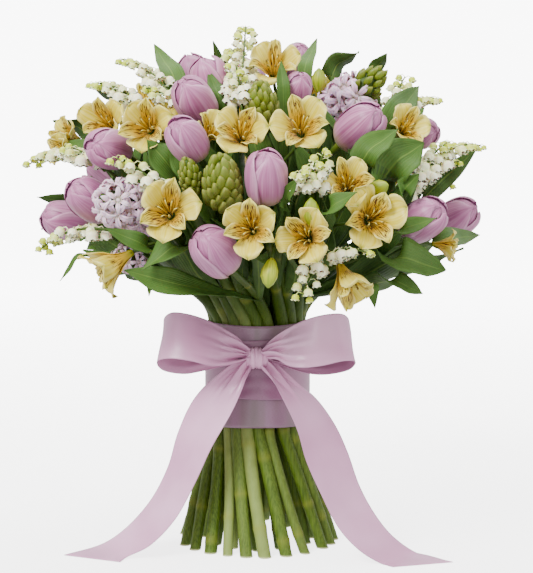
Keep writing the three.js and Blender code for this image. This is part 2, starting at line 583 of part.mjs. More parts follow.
// Where the bow's ribbon is seen: pixels of its upper or outer edge, pixels of its lower or inner edge,
// how far before the axis its middle lies, and its width there, which is less where it is gathered.
const BOW = {
  loops: [
    [[246, 351, 247, 360, 55, 9], [228, 338, 222, 366, 52, 30], [205, 330, 203, 371, 50], [182, 331, 184, 374, 50],
      [166, 326, 163, 370, 58], [164, 318, 158, 362, 68], [172, 312, 168, 359, 78], [190, 314, 190, 361, 82],
      [210, 321, 208, 365, 80], [226, 330, 222, 366, 75, 38], [240, 340, 237, 363, 67, 22], [246, 350, 246, 359, 61, 9]],
    [[264, 351, 264, 360, 55, 9], [283, 340, 287, 368, 52, 30], [308, 331, 309, 374, 50], [328, 332, 327, 375, 50],
      [346, 327, 350, 370, 58], [348, 320, 356, 362, 68], [341, 314, 345, 361, 78], [322, 315, 322, 366, 82],
      [302, 321, 303, 368, 80], [287, 329, 289, 366, 75, 38], [274, 340, 276, 359, 67, 22], [266, 350, 266, 358, 61, 9]],
  ],
  tails: [
    [[247, 359, 253, 364, 57, 8], [222, 371, 245, 383, 62, 30], [195, 398, 232, 412, 64, 44], [178, 432, 212, 448, 66],
      [167, 467, 196, 482, 64], [150, 500, 175, 519, 62], [127, 527, 149, 546, 61], [104, 543, 127, 557, 58]],
    [[264, 359, 257, 364, 57, 8], [288, 376, 271, 380, 62, 26], [314, 396, 286, 404, 66, 42], [334, 424, 298, 430, 68],
      [347, 452, 306, 460, 70], [359, 485, 320, 493, 72], [374, 512, 338, 528, 75], [393, 536, 360, 551, 79]],
  ],
  ends: [[[64, 555, 120, 562]], [[417, 553, 382, 564], [453, 562, 393, 567]]], // flat on the floor
};

// The two edge points of a ribbon that is seen at two pixels: the second edge hangs nearer the eye.
function ribbonEdges([u, v, u2, v2, depth, width = RIBBON.width]) {
  const at = (pixel, y) => {
    const ray = sight(pixel);
    return point(...EYE.at).addScaledVector(ray, (y - EYE.at[1]) / ray.y);
  };
  const seen = at([u, v], -depth).distanceTo(at([u2, v2], -depth));
  const lean = Math.sqrt(Math.max(0, width ** 2 - seen ** 2)) / 2;
  return [at([u, v], -depth + lean), at([u2, v2], -depth - lean)];
}
function floorEdges([u, v, u2, v2]) {
  const at = (pixel) => {
    const ray = sight(pixel);
    return point(...EYE.at).addScaledVector(ray, (RIBBON.wall / 2 + 0.05 - EYE.at[2]) / ray.z);
  };
  return [at([u, v]), at([u2, v2])];
}

// A ribbon between two edges, as thick as the satin all along.
function ribbonStrip(edges) {
  const middles = edges.map(([a, b]) => mix(a, b, 0.5));
  const ways = headings(middles);
  return skin(edges.map(([a, b], i) => {
    const face = b.clone().sub(a).cross(ways[i]).normalize().multiplyScalar(RIBBON.wall / 2);
    return [a.clone().sub(face), b.clone().sub(face), b.clone().add(face), a.clone().add(face)];
  }));
}

function bowBody() {
  const { x, y, z } = KNOT;
  const knot = skin([[-9.5, 6.5], [-6, 9.4], [6, 9.4], [9.5, 6.5]].map(([dx, r]) =>
    ringAt(point(x + dx, y, z), point(1, 0, 0), r, 8, point(0, 0, 1), 0.1)));
  const loops = BOW.loops.map((rows) => ribbonStrip(rows.map(ribbonEdges)));
  const tails = BOW.tails.map((rows, i) => ribbonStrip([...rows.map(ribbonEdges), ...BOW.ends[i].map(floorEdges)]));
  return join([knot, ...loops, ...tails]);
}

// ---------------------------------------------------------------- the bouquet
const COLOURS = {
  tulip: 0xcf9fc4, hyacinth: 0xa9b071, peruvian_lilies: 0xe6c560, lily_of_the_valley: 0xeef0df,
  stems_leaves: 0x4f7a35, stem_middle: 0x6c9440, ribbon: 0xcfa6c2,
};
const SATIN = 0.35;
const PLANT = 0.6;
const colourOf = (name) => COLOURS[Object.keys(COLOURS).find((kind) => name.startsWith(kind))];

function geometryOf(body) {
  const { vertProperties, triVerts } = body.getMesh();
  const geometry = new THREE.BufferGeometry();
  geometry.setAttribute("position", new THREE.BufferAttribute(vertProperties, 3));
  geometry.setIndex(new THREE.BufferAttribute(triVerts, 1));
  return geometry;
}

// Whether each edge lies between just two faces, to a tenth of a micrometre.
function sound(geometry, places = [4, 3]) {
  const { array } = geometry.getAttribute("position");
  if (places.length > 1) return places.every((place) => sound(geometry, [place]));
  const corners = Array.from(geometry.index.array, (i) => Array.from(array.slice(3 * i, 3 * i + 3), (x) => x.toFixed(places[0])).join());
  const faces = new Map();
  corners.forEach((corner, i) => {
    const next = corners[i % 3 === 2 ? i - 2 : i + 1];
    const edge = [corner, next].sort().join();
    faces.set(edge, (faces.get(edge) ?? 0) + 1);
  });
  return [...faces.values()].every((count) => count === 2);
}

// Corners nearer than a seam become one, by the first seam that leaves the piece sound.
const SEAMS = [0.002, 0.004, 0.001, 0.01, 0.02];
function meshOf(name, body) {
  const geometry = SEAMS.reduce((made, seam) =>
    (made && sound(made) ? made : geometryOf(largest(solid(geometryOf(body), seam)))), null);
  geometry.computeVertexNormals();
  const roughness = name.startsWith("ribbon") ? SATIN : PLANT;
  const mesh = new THREE.Mesh(geometry, new THREE.MeshStandardMaterial({ color: colourOf(name), roughness, metalness: 0 }));
  mesh.name = name;
  return mesh;
}

// Leaves and stems give way to the flowers that they would cross: first to the room round each, then to the flower itself.
function clearOf(body) {
  const crosses = (left) => (f) => left.intersect(f.body).volume() > 0.004;
  const crossed = [...flowers, ...sprays].filter(crosses(body));
  const clear = crossed.flatMap((f) => f.jackets).reduce((left, jacket) => left.subtract(jacket), body);
  return largest(crossed.filter(crosses(clear)).reduce((left, f) => left.subtract(f.body), clear));
}

const bouquet = new THREE.Group();
for (const { name, body } of [...flowers, ...sprays]) bouquet.add(meshOf(name, body));
THIRDS.forEach(({ name }, i) => bouquet.add(meshOf(name, clearOf(join(thirds[i])))));
bouquet.add(meshOf("stem_middle", clearOf(middleStem)));
bouquet.add(meshOf("ribbon_band", bandBody()));
bouquet.add(meshOf("ribbon_bow", bowBody()));

export default bouquet;
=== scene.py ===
# %% [markdown]
# # A hand-tied spring bouquet
#
# Tulips, hyacinths, Peruvian lilies and lily of the valley stand over tulip leaves in a dome. Their
# stems are bound by a satin band with a bow, and they fan out below it so that the bunch stands alone.
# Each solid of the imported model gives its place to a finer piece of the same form.

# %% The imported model
import json
import math

import bpy
import numpy as np
from mathutils import Matrix, Vector

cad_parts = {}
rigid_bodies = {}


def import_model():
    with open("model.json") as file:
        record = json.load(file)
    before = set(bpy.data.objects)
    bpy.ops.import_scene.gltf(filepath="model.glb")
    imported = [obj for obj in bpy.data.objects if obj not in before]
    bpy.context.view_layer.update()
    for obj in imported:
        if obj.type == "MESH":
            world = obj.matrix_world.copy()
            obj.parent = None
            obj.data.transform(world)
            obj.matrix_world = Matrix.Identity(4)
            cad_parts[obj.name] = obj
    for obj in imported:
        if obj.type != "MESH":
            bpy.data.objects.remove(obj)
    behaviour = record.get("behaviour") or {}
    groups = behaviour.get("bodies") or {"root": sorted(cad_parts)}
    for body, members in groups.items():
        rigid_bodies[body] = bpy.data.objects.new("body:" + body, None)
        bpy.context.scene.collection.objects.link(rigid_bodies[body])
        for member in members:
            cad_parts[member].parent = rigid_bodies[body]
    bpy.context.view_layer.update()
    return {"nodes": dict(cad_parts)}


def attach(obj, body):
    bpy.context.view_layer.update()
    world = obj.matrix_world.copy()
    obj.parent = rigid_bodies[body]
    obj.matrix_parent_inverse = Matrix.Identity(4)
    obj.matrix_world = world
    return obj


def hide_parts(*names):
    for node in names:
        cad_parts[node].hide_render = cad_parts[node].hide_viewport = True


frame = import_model()
print("solids:", len(frame["nodes"]))

# %% [markdown]
# ## The camera
#
# A photographer fixes the camera before arranging anything. The picture was taken from a little above
# the ribbon, 1.3 m away, with a long lens, so the camera is placed by those numbers and nothing else.

# %% The camera
# Where the camera stands, in mm, how far it looks down, and its focal length and middle, in pixels.
SENSOR = 36.0
EYE = dict(at=(8.1, -1305.0, 332.5), down=4.5, focal=1450.0, middle=(266.5, 286.5), rows=573)

lens = bpy.data.cameras.new("camera")
lens.sensor_width = SENSOR
lens.lens = SENSOR * EYE["focal"] / EYE["rows"]
camera = bpy.data.objects.new("camera", lens)
camera.location = [x / 1000 for x in EYE["at"]]  # Blender counts in metres
camera.rotation_euler = (math.radians(90 - EYE["down"]), 0, 0)
bpy.context.scene.collection.objects.link(camera)
bpy.context.scene.camera = camera
print("lens:", round(lens.lens, 1), "mm")

# %% [markdown]
# ## Points and directions
#
# The whole bouquet is laid out in millimetres with a few plain vector helpers. Writing them once keeps
# every later step short, and NumPy handles whole petals at a time.

# %% Points and directions
def vec(x, y, z):
    return np.array((x, y, z), float)


def unit(v):
    return v / np.linalg.norm(v)


def toward(a, b):
    return unit(b - a)


def mix(a, b, t):
    return a + (b - a) * t


def polar(radius, degrees, z=0.0):
    """A point by its distance and direction from the bouquet's axis."""
    return vec(radius * math.cos(math.radians(degrees)), radius * math.sin(math.radians(degrees)), z)


def azimuth(p):
    return math.degrees(math.atan2(p[1], p[0]))


def bezier(a, b, c, d, steps):
    t = np.linspace(0, 1, steps + 1)[:, None]
    return (1 - t) ** 3 * a + 3 * t * (1 - t) ** 2 * b + 3 * t * t * (1 - t) * c + t ** 3 * d


def ease(x, knots, values):
    """The values between knots, on a smooth curve through them."""
    k, v = np.asarray(knots, float), np.asarray(values, float)
    slope = np.gradient(v, k)
    i = np.clip(np.searchsorted(k, x, side="right") - 1, 0, len(k) - 2)
    h = k[i + 1] - k[i]
    u = (x - k[i]) / h
    return ((1 + 2 * u) * (1 - u) ** 2 * v[i] + u * (1 - u) ** 2 * h * slope[i]
            + u * u * (3 - 2 * u) * v[i + 1] + u * u * (u - 1) * h * slope[i + 1])


def through(points, per_span):
    """A smooth curve through points, with chords of uneven length taken into account."""
    p = np.asarray(points, float)
    p = np.vstack([2 * p[0] - p[1], p, 2 * p[-1] - p[-2]])
    out = []
    for i in range(1, len(p) - 2):
        q = p[i - 1:i + 3]
        k = np.concatenate([[0], np.cumsum(np.linalg.norm(np.diff(q, axis=0), axis=1) ** 0.5)])
        t = np.linspace(k[1], k[2], per_span, endpoint=False)[:, None]
        a = [((k[j + 1] - t) * q[j] + (t - k[j]) * q[j + 1]) / (k[j + 1] - k[j]) for j in range(3)]
        b = [((k[j + 2] - t) * a[j] + (t - k[j]) * a[j + 1]) / (k[j + 2] - k[j]) for j in range(2)]
        out.append(((k[2] - t) * b[0] + (t - k[1]) * b[1]) / (k[2] - k[1]))
    return np.vstack(out + [p[-2:-1]])


def headings(route):
    ways = np.gradient(route, axis=0)
    return ways / np.linalg.norm(ways, axis=1, keepdims=True)


def standing(foot, tip, turn=0.0):
    """Where a piece made along +Z stands: its rotation and its foot."""
    up = Vector(toward(foot, tip))
    turned = Vector((0, 0, 1)).rotation_difference(up).to_matrix() @ Matrix.Rotation(math.radians(turn), 3, "Z")
    return np.array(turned), foot


def matrix_of(place):
    turned, foot = place
    return Matrix.Translation(Vector(foot) / 1000) @ Matrix(turned.tolist()).to_4x4()


print("10 mm out, at 90 degrees:", polar(10, 90).round(3))

# %% [markdown]
# ## Where each flower is seen
#
# A florist builds the dome flower by flower. Here each one is written down by the two pixels where its
# foot and its tip are seen: the tip lies on a dome, and the flower's true length says how far behind it
# the foot stands.

# %% The dome and the line of sight
HEAD = dict(middle=285.0, radius=195.0, depth=190.0, rise=160.0)
BAND = dict(low=108.0, high=199.0, inner=45.0, wall=1.1, wrap_low=134.0, wrap_high=186.0, wrap_wall=1.0)
STEM = dict(thick=5.9, slim=3.6, foot=5.3)
PITCH = math.radians(EYE["down"])
AT = vec(*EYE["at"])


def sight(pixel):
    """The line of sight through a pixel."""
    u, v = pixel
    ahead, up = vec(0, math.cos(PITCH), -math.sin(PITCH)), vec(0, math.sin(PITCH), math.cos(PITCH))
    return unit(ahead + up * (EYE["middle"][1] - v) / EYE["focal"]
                + vec((u - EYE["middle"][0]) / EYE["focal"], 0, 0))


def on_dome(pixel, lift=0.0):
    ray = sight(pixel)
    radii = vec(HEAD["radius"] + lift, HEAD["depth"] + lift, HEAD["rise"] + lift)
    start, way = (AT - vec(0, 0, HEAD["middle"])) / radii, ray / radii
    half = start @ way / (way @ way)
    inside = half * half - (start @ start - 1) / (way @ way)
    level = (-lift - AT[1]) / ray[1]
    return AT + ray * (min(-half - math.sqrt(inside), level) if inside > 0 else level)


def foot_behind(tip, pixel, length):
    ray = sight(pixel)
    nearest = ray @ (tip - AT)
    aside = np.linalg.norm(AT + ray * nearest - tip)
    behind = math.sqrt(length ** 2 - aside ** 2) if aside < length else 0.0
    return tip + toward(tip, AT + ray * (nearest + behind)) * length


def dome_place(turn, height, inward=0.0):
    a, h = math.radians(turn), math.radians(height)
    return vec((HEAD["radius"] - inward) * math.cos(h) * math.cos(a),
               (HEAD["depth"] - inward) * math.cos(h) * math.sin(a),
               HEAD["middle"] + (HEAD["rise"] - inward) * math.sin(h))


def outwards(turn, height, length):
    """A flower at the back, which points away from a spot low on the bouquet's axis."""
    tip = dome_place(turn, height)
    return tip + toward(tip, vec(0, 0, HEAD["middle"] - AIM)) * length, tip


def seat(foot, tip, lift, length):
    top = on_dome(tip, lift)
    return foot_behind(top, foot, length), top


print("top of the dome:", dome_place(0, 90).round(1))

# %% The flowers, by their pixels
# Tulips: foot, tip, lift off the dome, size.
TULIPS = [((217, 113), (204, 54), 0, 1.06), ((203, 100), (187, 52), -30, .9), ((206, 118), (181, 80), 6, 1),
          ((199, 157), (173, 121), 20, .92), ((123, 154), (92, 143), 8, 1), ((107, 214), (71, 184), 4, 1),
          ((88, 224), (40, 216), 0, 1), ((267, 203), (265, 149), 6, 1), ((229, 267), (199, 233), 4, 1.06),
          ((341, 143), (381, 109), 4, 1.04), ((405, 135), (438, 131), -10, .85), ((293, 103), (302, 74), -4, .72),
          ((291, 74), (301, 45), -20, .8), ((404, 232), (444, 206), 8, 1), ((436, 230), (478, 206), 0, 1.05)]
# Hyacinths: foot, tip, lift, length, radius, open or in bud.
HYACINTHS = [((223, 206), (220, 158), 6, 50, 17, False), ((193, 193), (186, 158), 8, 36, 9.5, False),
             ((263, 130), (261, 84), -4, 46, 15, False), ((334, 112), (384, 70), 0, 62, 21, True),
             ((143, 214), (98, 196), 6, 50, 20, True), ((143, 264), (117, 251), -24, 38, 12, True)]
# Peruvian lilies: blooms (foot, tip, lift, size), then buds (foot, tip, lift), then how deep the hub sits.
PERUVIANS = [
    ([((153, 133), (144, 124), -4, 1), ((164, 138), (163, 118), -26, .8), ((208, 142), (214, 125), -16, .65)],
     [], .34),
    ([((116, 130), (100, 121), -8, .9), ((76, 152), (56, 149), 0, .7), ((80, 140), (60, 131), -16, .7)], [], .34),
    ([((242, 144), (240, 127), -4, 1), ((301, 138), (301, 122), 0, 1.05)], [], .34),
    ([((274, 82), (273, 58), 0, 1)], [((320, 94), (319, 68), -16)], .34),
    ([((172, 218), (166, 208), 6, 1.1), ((136, 250), (98, 275), 0, 1)], [], .34),
    ([((254, 232), (249, 226), 4, 1), ((310, 240), (304, 236), 4, 1)],
     [((311, 226), (311, 198), 0), ((272, 258), (268, 288), 0)], .2),
    ([((366, 222), (376, 217), 6, 1.1), ((346, 192), (349, 181), 0, .9)], [((366, 192), (388, 185), 0)], .34),
    ([((398, 136), (410, 124), 0, .8)], [], .34),
    ([((338, 262), (352, 294), 0, .9), ((428, 243), (456, 248), 0, .6)], [], .34)]
# Lily of the valley: foot, tips, lift.
SPRAYS = [((242, 108), [(246, 27), (232, 50)], -4), ((178, 106), [(120, 60), (146, 88)], -4),
          ((140, 106), [(91, 84)], 0), ((92, 160), [(30, 164), (64, 146)], 4), ((158, 187), [(115, 158)], 6),
          ((99, 229), [(42, 248)], 8), ((310, 190), [(315, 162)], 6), ((418, 180), [(481, 146), (450, 142)], 0),
          ((392, 114), [(405, 77), (438, 99)], 0), ((324, 254), [(368, 253), (302, 297)], 0)]
# Leaves: tip, widest place, width, lift.
LEAVES = [((154, 45), (174, 78), 20, 0), ((92, 88), (126, 104), 24, -10), ((53, 121), (80, 128), 15, -36),
          ((63, 142), (108, 158), 28, -16), ((213, 41), (226, 84), 14, -24), ((208, 71), (219, 98), 16, -14),
          ((147, 140), (166, 162), 26, -12), ((172, 141), (184, 166), 20, -18), ((37, 197), (72, 203), 14, -36),
          ((41, 229), (80, 233), 13, -50), ((141, 271), (175, 247), 27, 0), ((105, 228), (140, 243), 15, 0),
          ((124, 270), (168, 282), 22, 0), ((60, 281), (80, 256), 7, 0), ((149, 296), (152, 280), 8, 0),
          ((317, 39), (305, 68), 13, 0), ((359, 52), (336, 66), 22, -42), ((387, 54), (376, 68), 14, -34),
          ((419, 86), (395, 118), 27, 0), ((281, 61), (283, 88), 11, 0), ((398, 129), (368, 152), 25, 0),
          ((424, 143), (396, 162), 36, 0), ((477, 149), (442, 180), 19, -14), ((419, 174), (404, 190), 18, 0),
          ((297, 179), (287, 197), 12, 0), ((357, 192), (333, 206), 16, 16), ((437, 218), (404, 229), 15, 12),
          ((480, 235), (442, 240), 19, 0), ((445, 271), (402, 258), 36, 0), ((423, 294), (394, 281), 21, 0),
          ((375, 308), (370, 286), 12, 0), ((194, 186), (208, 208), 22, -16), ((424, 108), (410, 124), 12, 0),
          ((266, 264), (259, 256), 14, -10)]
# The back, by azimuth and height above the dome's middle, in degrees.
BACK = dict(
    tulips=[(38, 2), (68, 24), (96, 4), (118, 44), (152, 22), (100, 74)],
    hyacinths=[(84, 42), (128, 12), (40, 44)],
    peruvians=[[(46, 8), (40, 28), (60, 56)], [(78, 12), (92, 26), (98, 50)], [(142, 0), (140, 36), (150, 50)]],
    sprays=[(13, 15), (112, 24)],
    leaves=[(10, -8), (24, 16), (24, 52), (56, -6), (56, 36), (72, 50), (82, -6), (104, 14), (112, -8), (130, 34),
            (146, -8), (168, 6)])
# A flower's true length, from foot to tip, and how far below the dome's middle the flowers at the back point from.
LONG = dict(tulip=49, hyacinth=50, lily=34, bud=24)
AIM = 70
print("front:", len(TULIPS), "tulips,", len(HYACINTHS), "hyacinths,", len(LEAVES), "leaves")

# %% [markdown]
# ## Closed meshes from grids
#
# A petal, a leaf and a ribbon are all the same thing to a maker: a grid of points with a little
# thickness. One helper closes such a grid into a thin shell. It also keeps, at every point, how far
# along and across the piece it lies, so that veins and streaks can follow the shape.

# %% Shells and skins
def shell(grid, thick, loop=False, **marks):
    """A closed thin shell about a grid of points. With loop, its last column joins its first."""
    n, m = grid.shape[:2]
    along = np.gradient(grid, axis=0)
    across = (np.roll(grid, -1, 1) - np.roll(grid, 1, 1)) if loop else np.gradient(grid, axis=1)
    normal = np.cross(along, across)
    normal /= np.maximum(np.linalg.norm(normal, axis=2, keepdims=True), 1e-9)
    half = normal * (np.broadcast_to(thick, (n, m))[..., None] / 2)
    verts = np.vstack([(grid + half).reshape(-1, 3), (grid - half).reshape(-1, 3)])
    i, j = np.meshgrid(np.arange(n - 1), np.arange(m if loop else m - 1), indexing="ij")
    near, far, k = (i * m + j).ravel(), (i * m + (j + 1) % m).ravel(), n * m
    top = np.stack([near, near + m, far + m, far], 1)
    if loop:
        here, last = np.arange(m), (n - 1) * m
        ends = [(here + last, (here + 1) % m + last), ((here + 1) % m, here)]
        rim = np.vstack([np.stack([b, a, a + k, b + k], 1) for a, b in ends])
    else:
        edge = np.concatenate([np.arange(n) * m, (n - 1) * m + np.arange(1, m),
                               np.arange(n - 2, -1, -1) * m + m - 1, np.arange(m - 2, 0, -1)])
        after = np.roll(edge, -1)
        rim = np.stack([after, edge, edge + k, after + k], 1)
    kept = {name: np.tile(np.broadcast_to(value, (n, m)).ravel(), 2) for name, value in marks.items()}
    kept["inside"] = np.repeat([0.0, 1.0], k)
    return dict(verts=verts, faces=[top, top[:, ::-1] + k, rim], marks=kept)


def skin(rings, **marks):
    """A closed skin over rings of points, with its two ends capped."""
    rings = np.asarray(rings, float)
    n, m = rings.shape[:2]
    i, j = np.meshgrid(np.arange(n - 1), np.arange(m), indexing="ij")
    near, far = (i * m + j).ravel(), (i * m + (j + 1) % m).ravel()
    faces = [np.stack([near, far, far + m, near + m], 1),
             np.arange(m)[None, ::-1], (np.arange(m) + (n - 1) * m)[None]]
    kept = {name: np.broadcast_to(value, (n, m)).ravel() for name, value in marks.items()}
    return dict(verts=rings.reshape(-1, 3), faces=faces, marks=kept)


ASIDE = vec(0.31, 0.17, 0.93)


def round_turn(steps):
    """Angles once round, at even steps."""
    return 2 * math.pi * np.arange(steps) / steps


def ring(centre, way, radius, sides):
    """Points round a centre, square to a way. They start beside a direction that no stem follows."""
    across = unit(ASIDE - way * (ASIDE @ way))
    other = np.cross(way, across)
    a = round_turn(sides)
    return centre + radius * (np.cos(a)[:, None] * across + np.sin(a)[:, None] * other)


def tube(route, radii, sides, **marks):
    radii = np.broadcast_to(radii, len(route))
    rings = [ring(p, w, r, sides) for p, w, r in zip(route, headings(route), radii)]
    return skin(rings, along=np.linspace(0, 1, len(route))[:, None], **marks)


def put(part, place):
    turned, foot = place
    return dict(part, verts=part["verts"] @ turned.T + foot)


print("first corner of a ring 5 mm wide:", ring(vec(0, 0, 0), vec(0, 0, 1), 5, 6)[0].round(2))

# %% Pieces from meshes
def link(obj, node=None):
    """A finished piece: in the scene, on the body root, and in place of its solid."""
    bpy.context.scene.collection.objects.link(obj)
    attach(obj, "root")
    if node:
        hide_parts(node)
    return obj


def keep(mesh, mark, values):
    """A number at every point of a mesh, for finishes and trees to read."""
    mesh.attributes.new(mark, "FLOAT", "POINT").data.foreach_set("value", values.astype(np.float32))


def smooth(mesh):
    mesh.polygons.foreach_set("use_smooth", np.ones(len(mesh.polygons), bool))


def mesh_of(name, parts, finishes=()):
    """One mesh from closed parts, each with the number of its finish."""
    mesh = bpy.data.meshes.new(name)
    first, loops, sizes, numbers = 0, [], [], []
    for part, number in parts:
        for faces in part["faces"]:
            loops.append((faces + first).ravel())
            sizes.append(np.full(len(faces), faces.shape[1]))
            numbers.append(np.full(len(faces), number))
        first += len(part["verts"])
    loops, sizes = np.concatenate(loops), np.concatenate(sizes)
    mesh.vertices.add(first)
    mesh.vertices.foreach_set("co", (np.vstack([p["verts"] for p, _ in parts]) / 1000).ravel())
    mesh.loops.add(len(loops))
    mesh.loops.foreach_set("vertex_index", loops)
    mesh.polygons.add(len(sizes))
    mesh.polygons.foreach_set("loop_start", np.concatenate([[0], np.cumsum(sizes)[:-1]]))
    mesh.polygons.foreach_set("material_index", np.concatenate(numbers))
    smooth(mesh)
    for mark in sorted({k for p, _ in parts for k in p["marks"]}):
        values = [np.broadcast_to(p["marks"].get(mark, 0.0), len(p["verts"])) for p, _ in parts]
        keep(mesh, mark, np.concatenate(values))
    for finish in finishes:
        mesh.materials.append(finish)
    mesh.update(calc_edges=True)
    return mesh


def piece(name, parts, finishes, node=None):
    return link(bpy.data.objects.new(name, mesh_of(name, parts, finishes)), node)


# %% [markdown]
# ## Finishes
#
# Every finish is painted by nodes from the marks that each mesh keeps, with noise on the object's own
# coordinates for what is irregular. A small helper adds nodes, so that each finish reads like a recipe.

# %% A helper for finishes
STRENGTH, SHADE = 1.3, 0.85


def tint(code, shade=SHADE):
    """A screen's colour in the shader's own units. The film-like view fades colours, so they are made stronger."""
    parts = [int(code[i:i + 2], 16) / 255 for i in (0, 2, 4)]
    parts = [p / 12.92 if p <= 0.04045 else ((p + 0.055) / 1.055) ** 2.4 for p in parts]
    grey = 0.3 * parts[0] + 0.6 * parts[1] + 0.1 * parts[2]
    return (*[min(1.0, max(0.0, shade * (grey + (p - grey) * STRENGTH))) for p in parts], 1.0)


class Sums:
    """Short names for the sums that finishes and trees write as nodes."""

    def times(self, a, b):
        return self.math("MULTIPLY", a, b)

    def plus(self, a, b):
        return self.math("ADD", a, b)

    def minus(self, a, b):
        return self.math("SUBTRACT", a, b)


class Finish(Sums):
    """A material, painted step by step on its one shader."""

    def __init__(self, name, **sockets):
        self.material = bpy.data.materials.new(name)
        self.material.use_nodes = True
        self.nodes, self.links = self.material.node_tree.nodes, self.material.node_tree.links
        self.shader = next(n for n in self.nodes if n.type == "BSDF_PRINCIPLED")
        for socket, value in sockets.items():
            self.shader.inputs[socket.replace("_", " ")].default_value = value

    def fill(self, socket, value):
        if isinstance(value, bpy.types.NodeSocket):
            self.links.new(value, socket)
        elif value is not None:
            socket.default_value = value

    def add(self, kind, *inputs, out=0, **settings):
        node = self.nodes.new("ShaderNode" + kind)
        for key, value in settings.items():
            setattr(node, key, value)
        for socket, value in zip(node.inputs, inputs):
            self.fill(socket, value)
        return node.outputs[out]

    def mark(self, name):
        return self.add("Attribute", attribute_name=name, out=2)

    def math(self, operation, a, b=None, c=None):
        return self.add("Math", a, b, c, operation=operation)

    def spread(self, value, low, high, to_low=0.0, to_high=1.0):
        return self.add("MapRange", value, low, high, to_low, to_high, interpolation_type="SMOOTHSTEP")

    def vector(self, x, y, z):
        return self.add("CombineXYZ", x, y, z)

    def split(self, vector):
        node = self.nodes.new("ShaderNodeSeparateXYZ")
        self.links.new(vector, node.inputs[0])
        return node.outputs

    def place(self):
        return self.add("TexCoord", out=3)

    def noise(self, vector, scale, detail=2.0, rough=0.5):
        node = self.nodes.new("ShaderNodeTexNoise")
        self.fill(node.inputs["Vector"], vector)
        for key, value in (("Scale", scale), ("Detail", detail), ("Roughness", rough)):
            node.inputs[key].default_value = value
        return node.outputs[0]

    def blend(self, share, a, b):
        node = self.nodes.new("ShaderNodeMix")
        node.data_type = "RGBA"
        for number, value in ((0, share), (6, a), (7, b)):
            self.fill(node.inputs[number], value)
        return node.outputs[2]

    def over(self, body, share, code, shade=SHADE):
        """The body with a colour laid over it by a share."""
        return self.blend(share, body, tint(code, shade))

    def finish(self, colour, height=None, bump=0.2, depth=0.001):
        self.fill(self.shader.inputs["Base Color"], colour)
        if height is not None:
            node = self.nodes.new("ShaderNodeBump")
            node.inputs["Strength"].default_value = bump
            node.inputs["Distance"].default_value = depth
            self.links.new(height, node.inputs["Height"])
            self.links.new(node.outputs[0], self.shader.inputs["Normal"])
        return self.material


print("a middle grey, as a shader takes it:", [round(c, 3) for c in tint("808080")[:3]])

# %% [markdown]
# ### Tulip petals
#
# A lilac-pink tulip is greenish cream at its foot, darkest along its middle and palest towards its thin
# edges, with very fine streaks that run from foot to tip. A narrow dark line along each edge is painted
# shade, where the petals lap over one another. So the streak noise is squeezed across the petal and
# stretched along it.

# %% Tulip finish
def streaks(f, across_scale, along_scale):
    """Fine lines that run from a petal's foot to its tip."""
    fan = f.vector(f.times(f.mark("across"), across_scale),
                   f.times(f.mark("along"), along_scale), f.times(f.mark("tone"), 37.0))
    return f.noise(fan, 1.0, 3.0, 0.6)


def tulip_finish():
    f = Finish("lilac_tulip_petal", Roughness=0.42, Subsurface_Weight=0.12, Subsurface_Scale=0.006,
               Sheen_Weight=0.12, Sheen_Roughness=0.4)
    f.shader.inputs["Subsurface Radius"].default_value = (1.0, 0.5, 0.8)
    along, across = f.mark("along"), f.math("ABSOLUTE", f.mark("across"))
    lines = streaks(f, 13.0, 0.9)
    body = f.blend(f.spread(lines, 0.3, 0.72), tint("a4678a"), tint("c994b2"))
    body = f.over(body, f.spread(across, 0.62, 1.0, 0, 0.55), "e2bbcf")
    # Painted shade: a narrow dark line along both edges of each petal, where the petals lap over one another.
    body = f.over(body, f.spread(across, 0.93, 1.0, 0, 0.75), "7d4565")
    body = f.over(body, f.times(f.spread(across, 0.0, 0.16, 0.45, 0.0), f.spread(along, 0.1, 0.5)), "8b5273")
    foot = f.plus(along, f.times(f.minus(lines, 0.5), 0.26))
    body = f.over(body, f.spread(foot, 0.02, 0.36, 0.95, 0.0), "b3a878")
    body = f.over(body, f.times(f.mark("tone"), 0.34), "9b6887")
    body = f.over(body, f.times(f.mark("inside"), 0.6), "96657f")
    return f.finish(body, lines, 0.35, 0.0006)


tulip_petal = tulip_finish()
print(tulip_petal.name, "has", len(tulip_petal.node_tree.nodes), "nodes")

# %% [markdown]
# ### Peruvian lily petals
#
# The cream-yellow petals have a golden throat. The narrow inner ones are streaked with short dark
# dashes, and the broad outer ones end in a green tip. The dashes are a noise drawn out along the petal
# and cut off sharply, and the mark named streak says where they may lie.

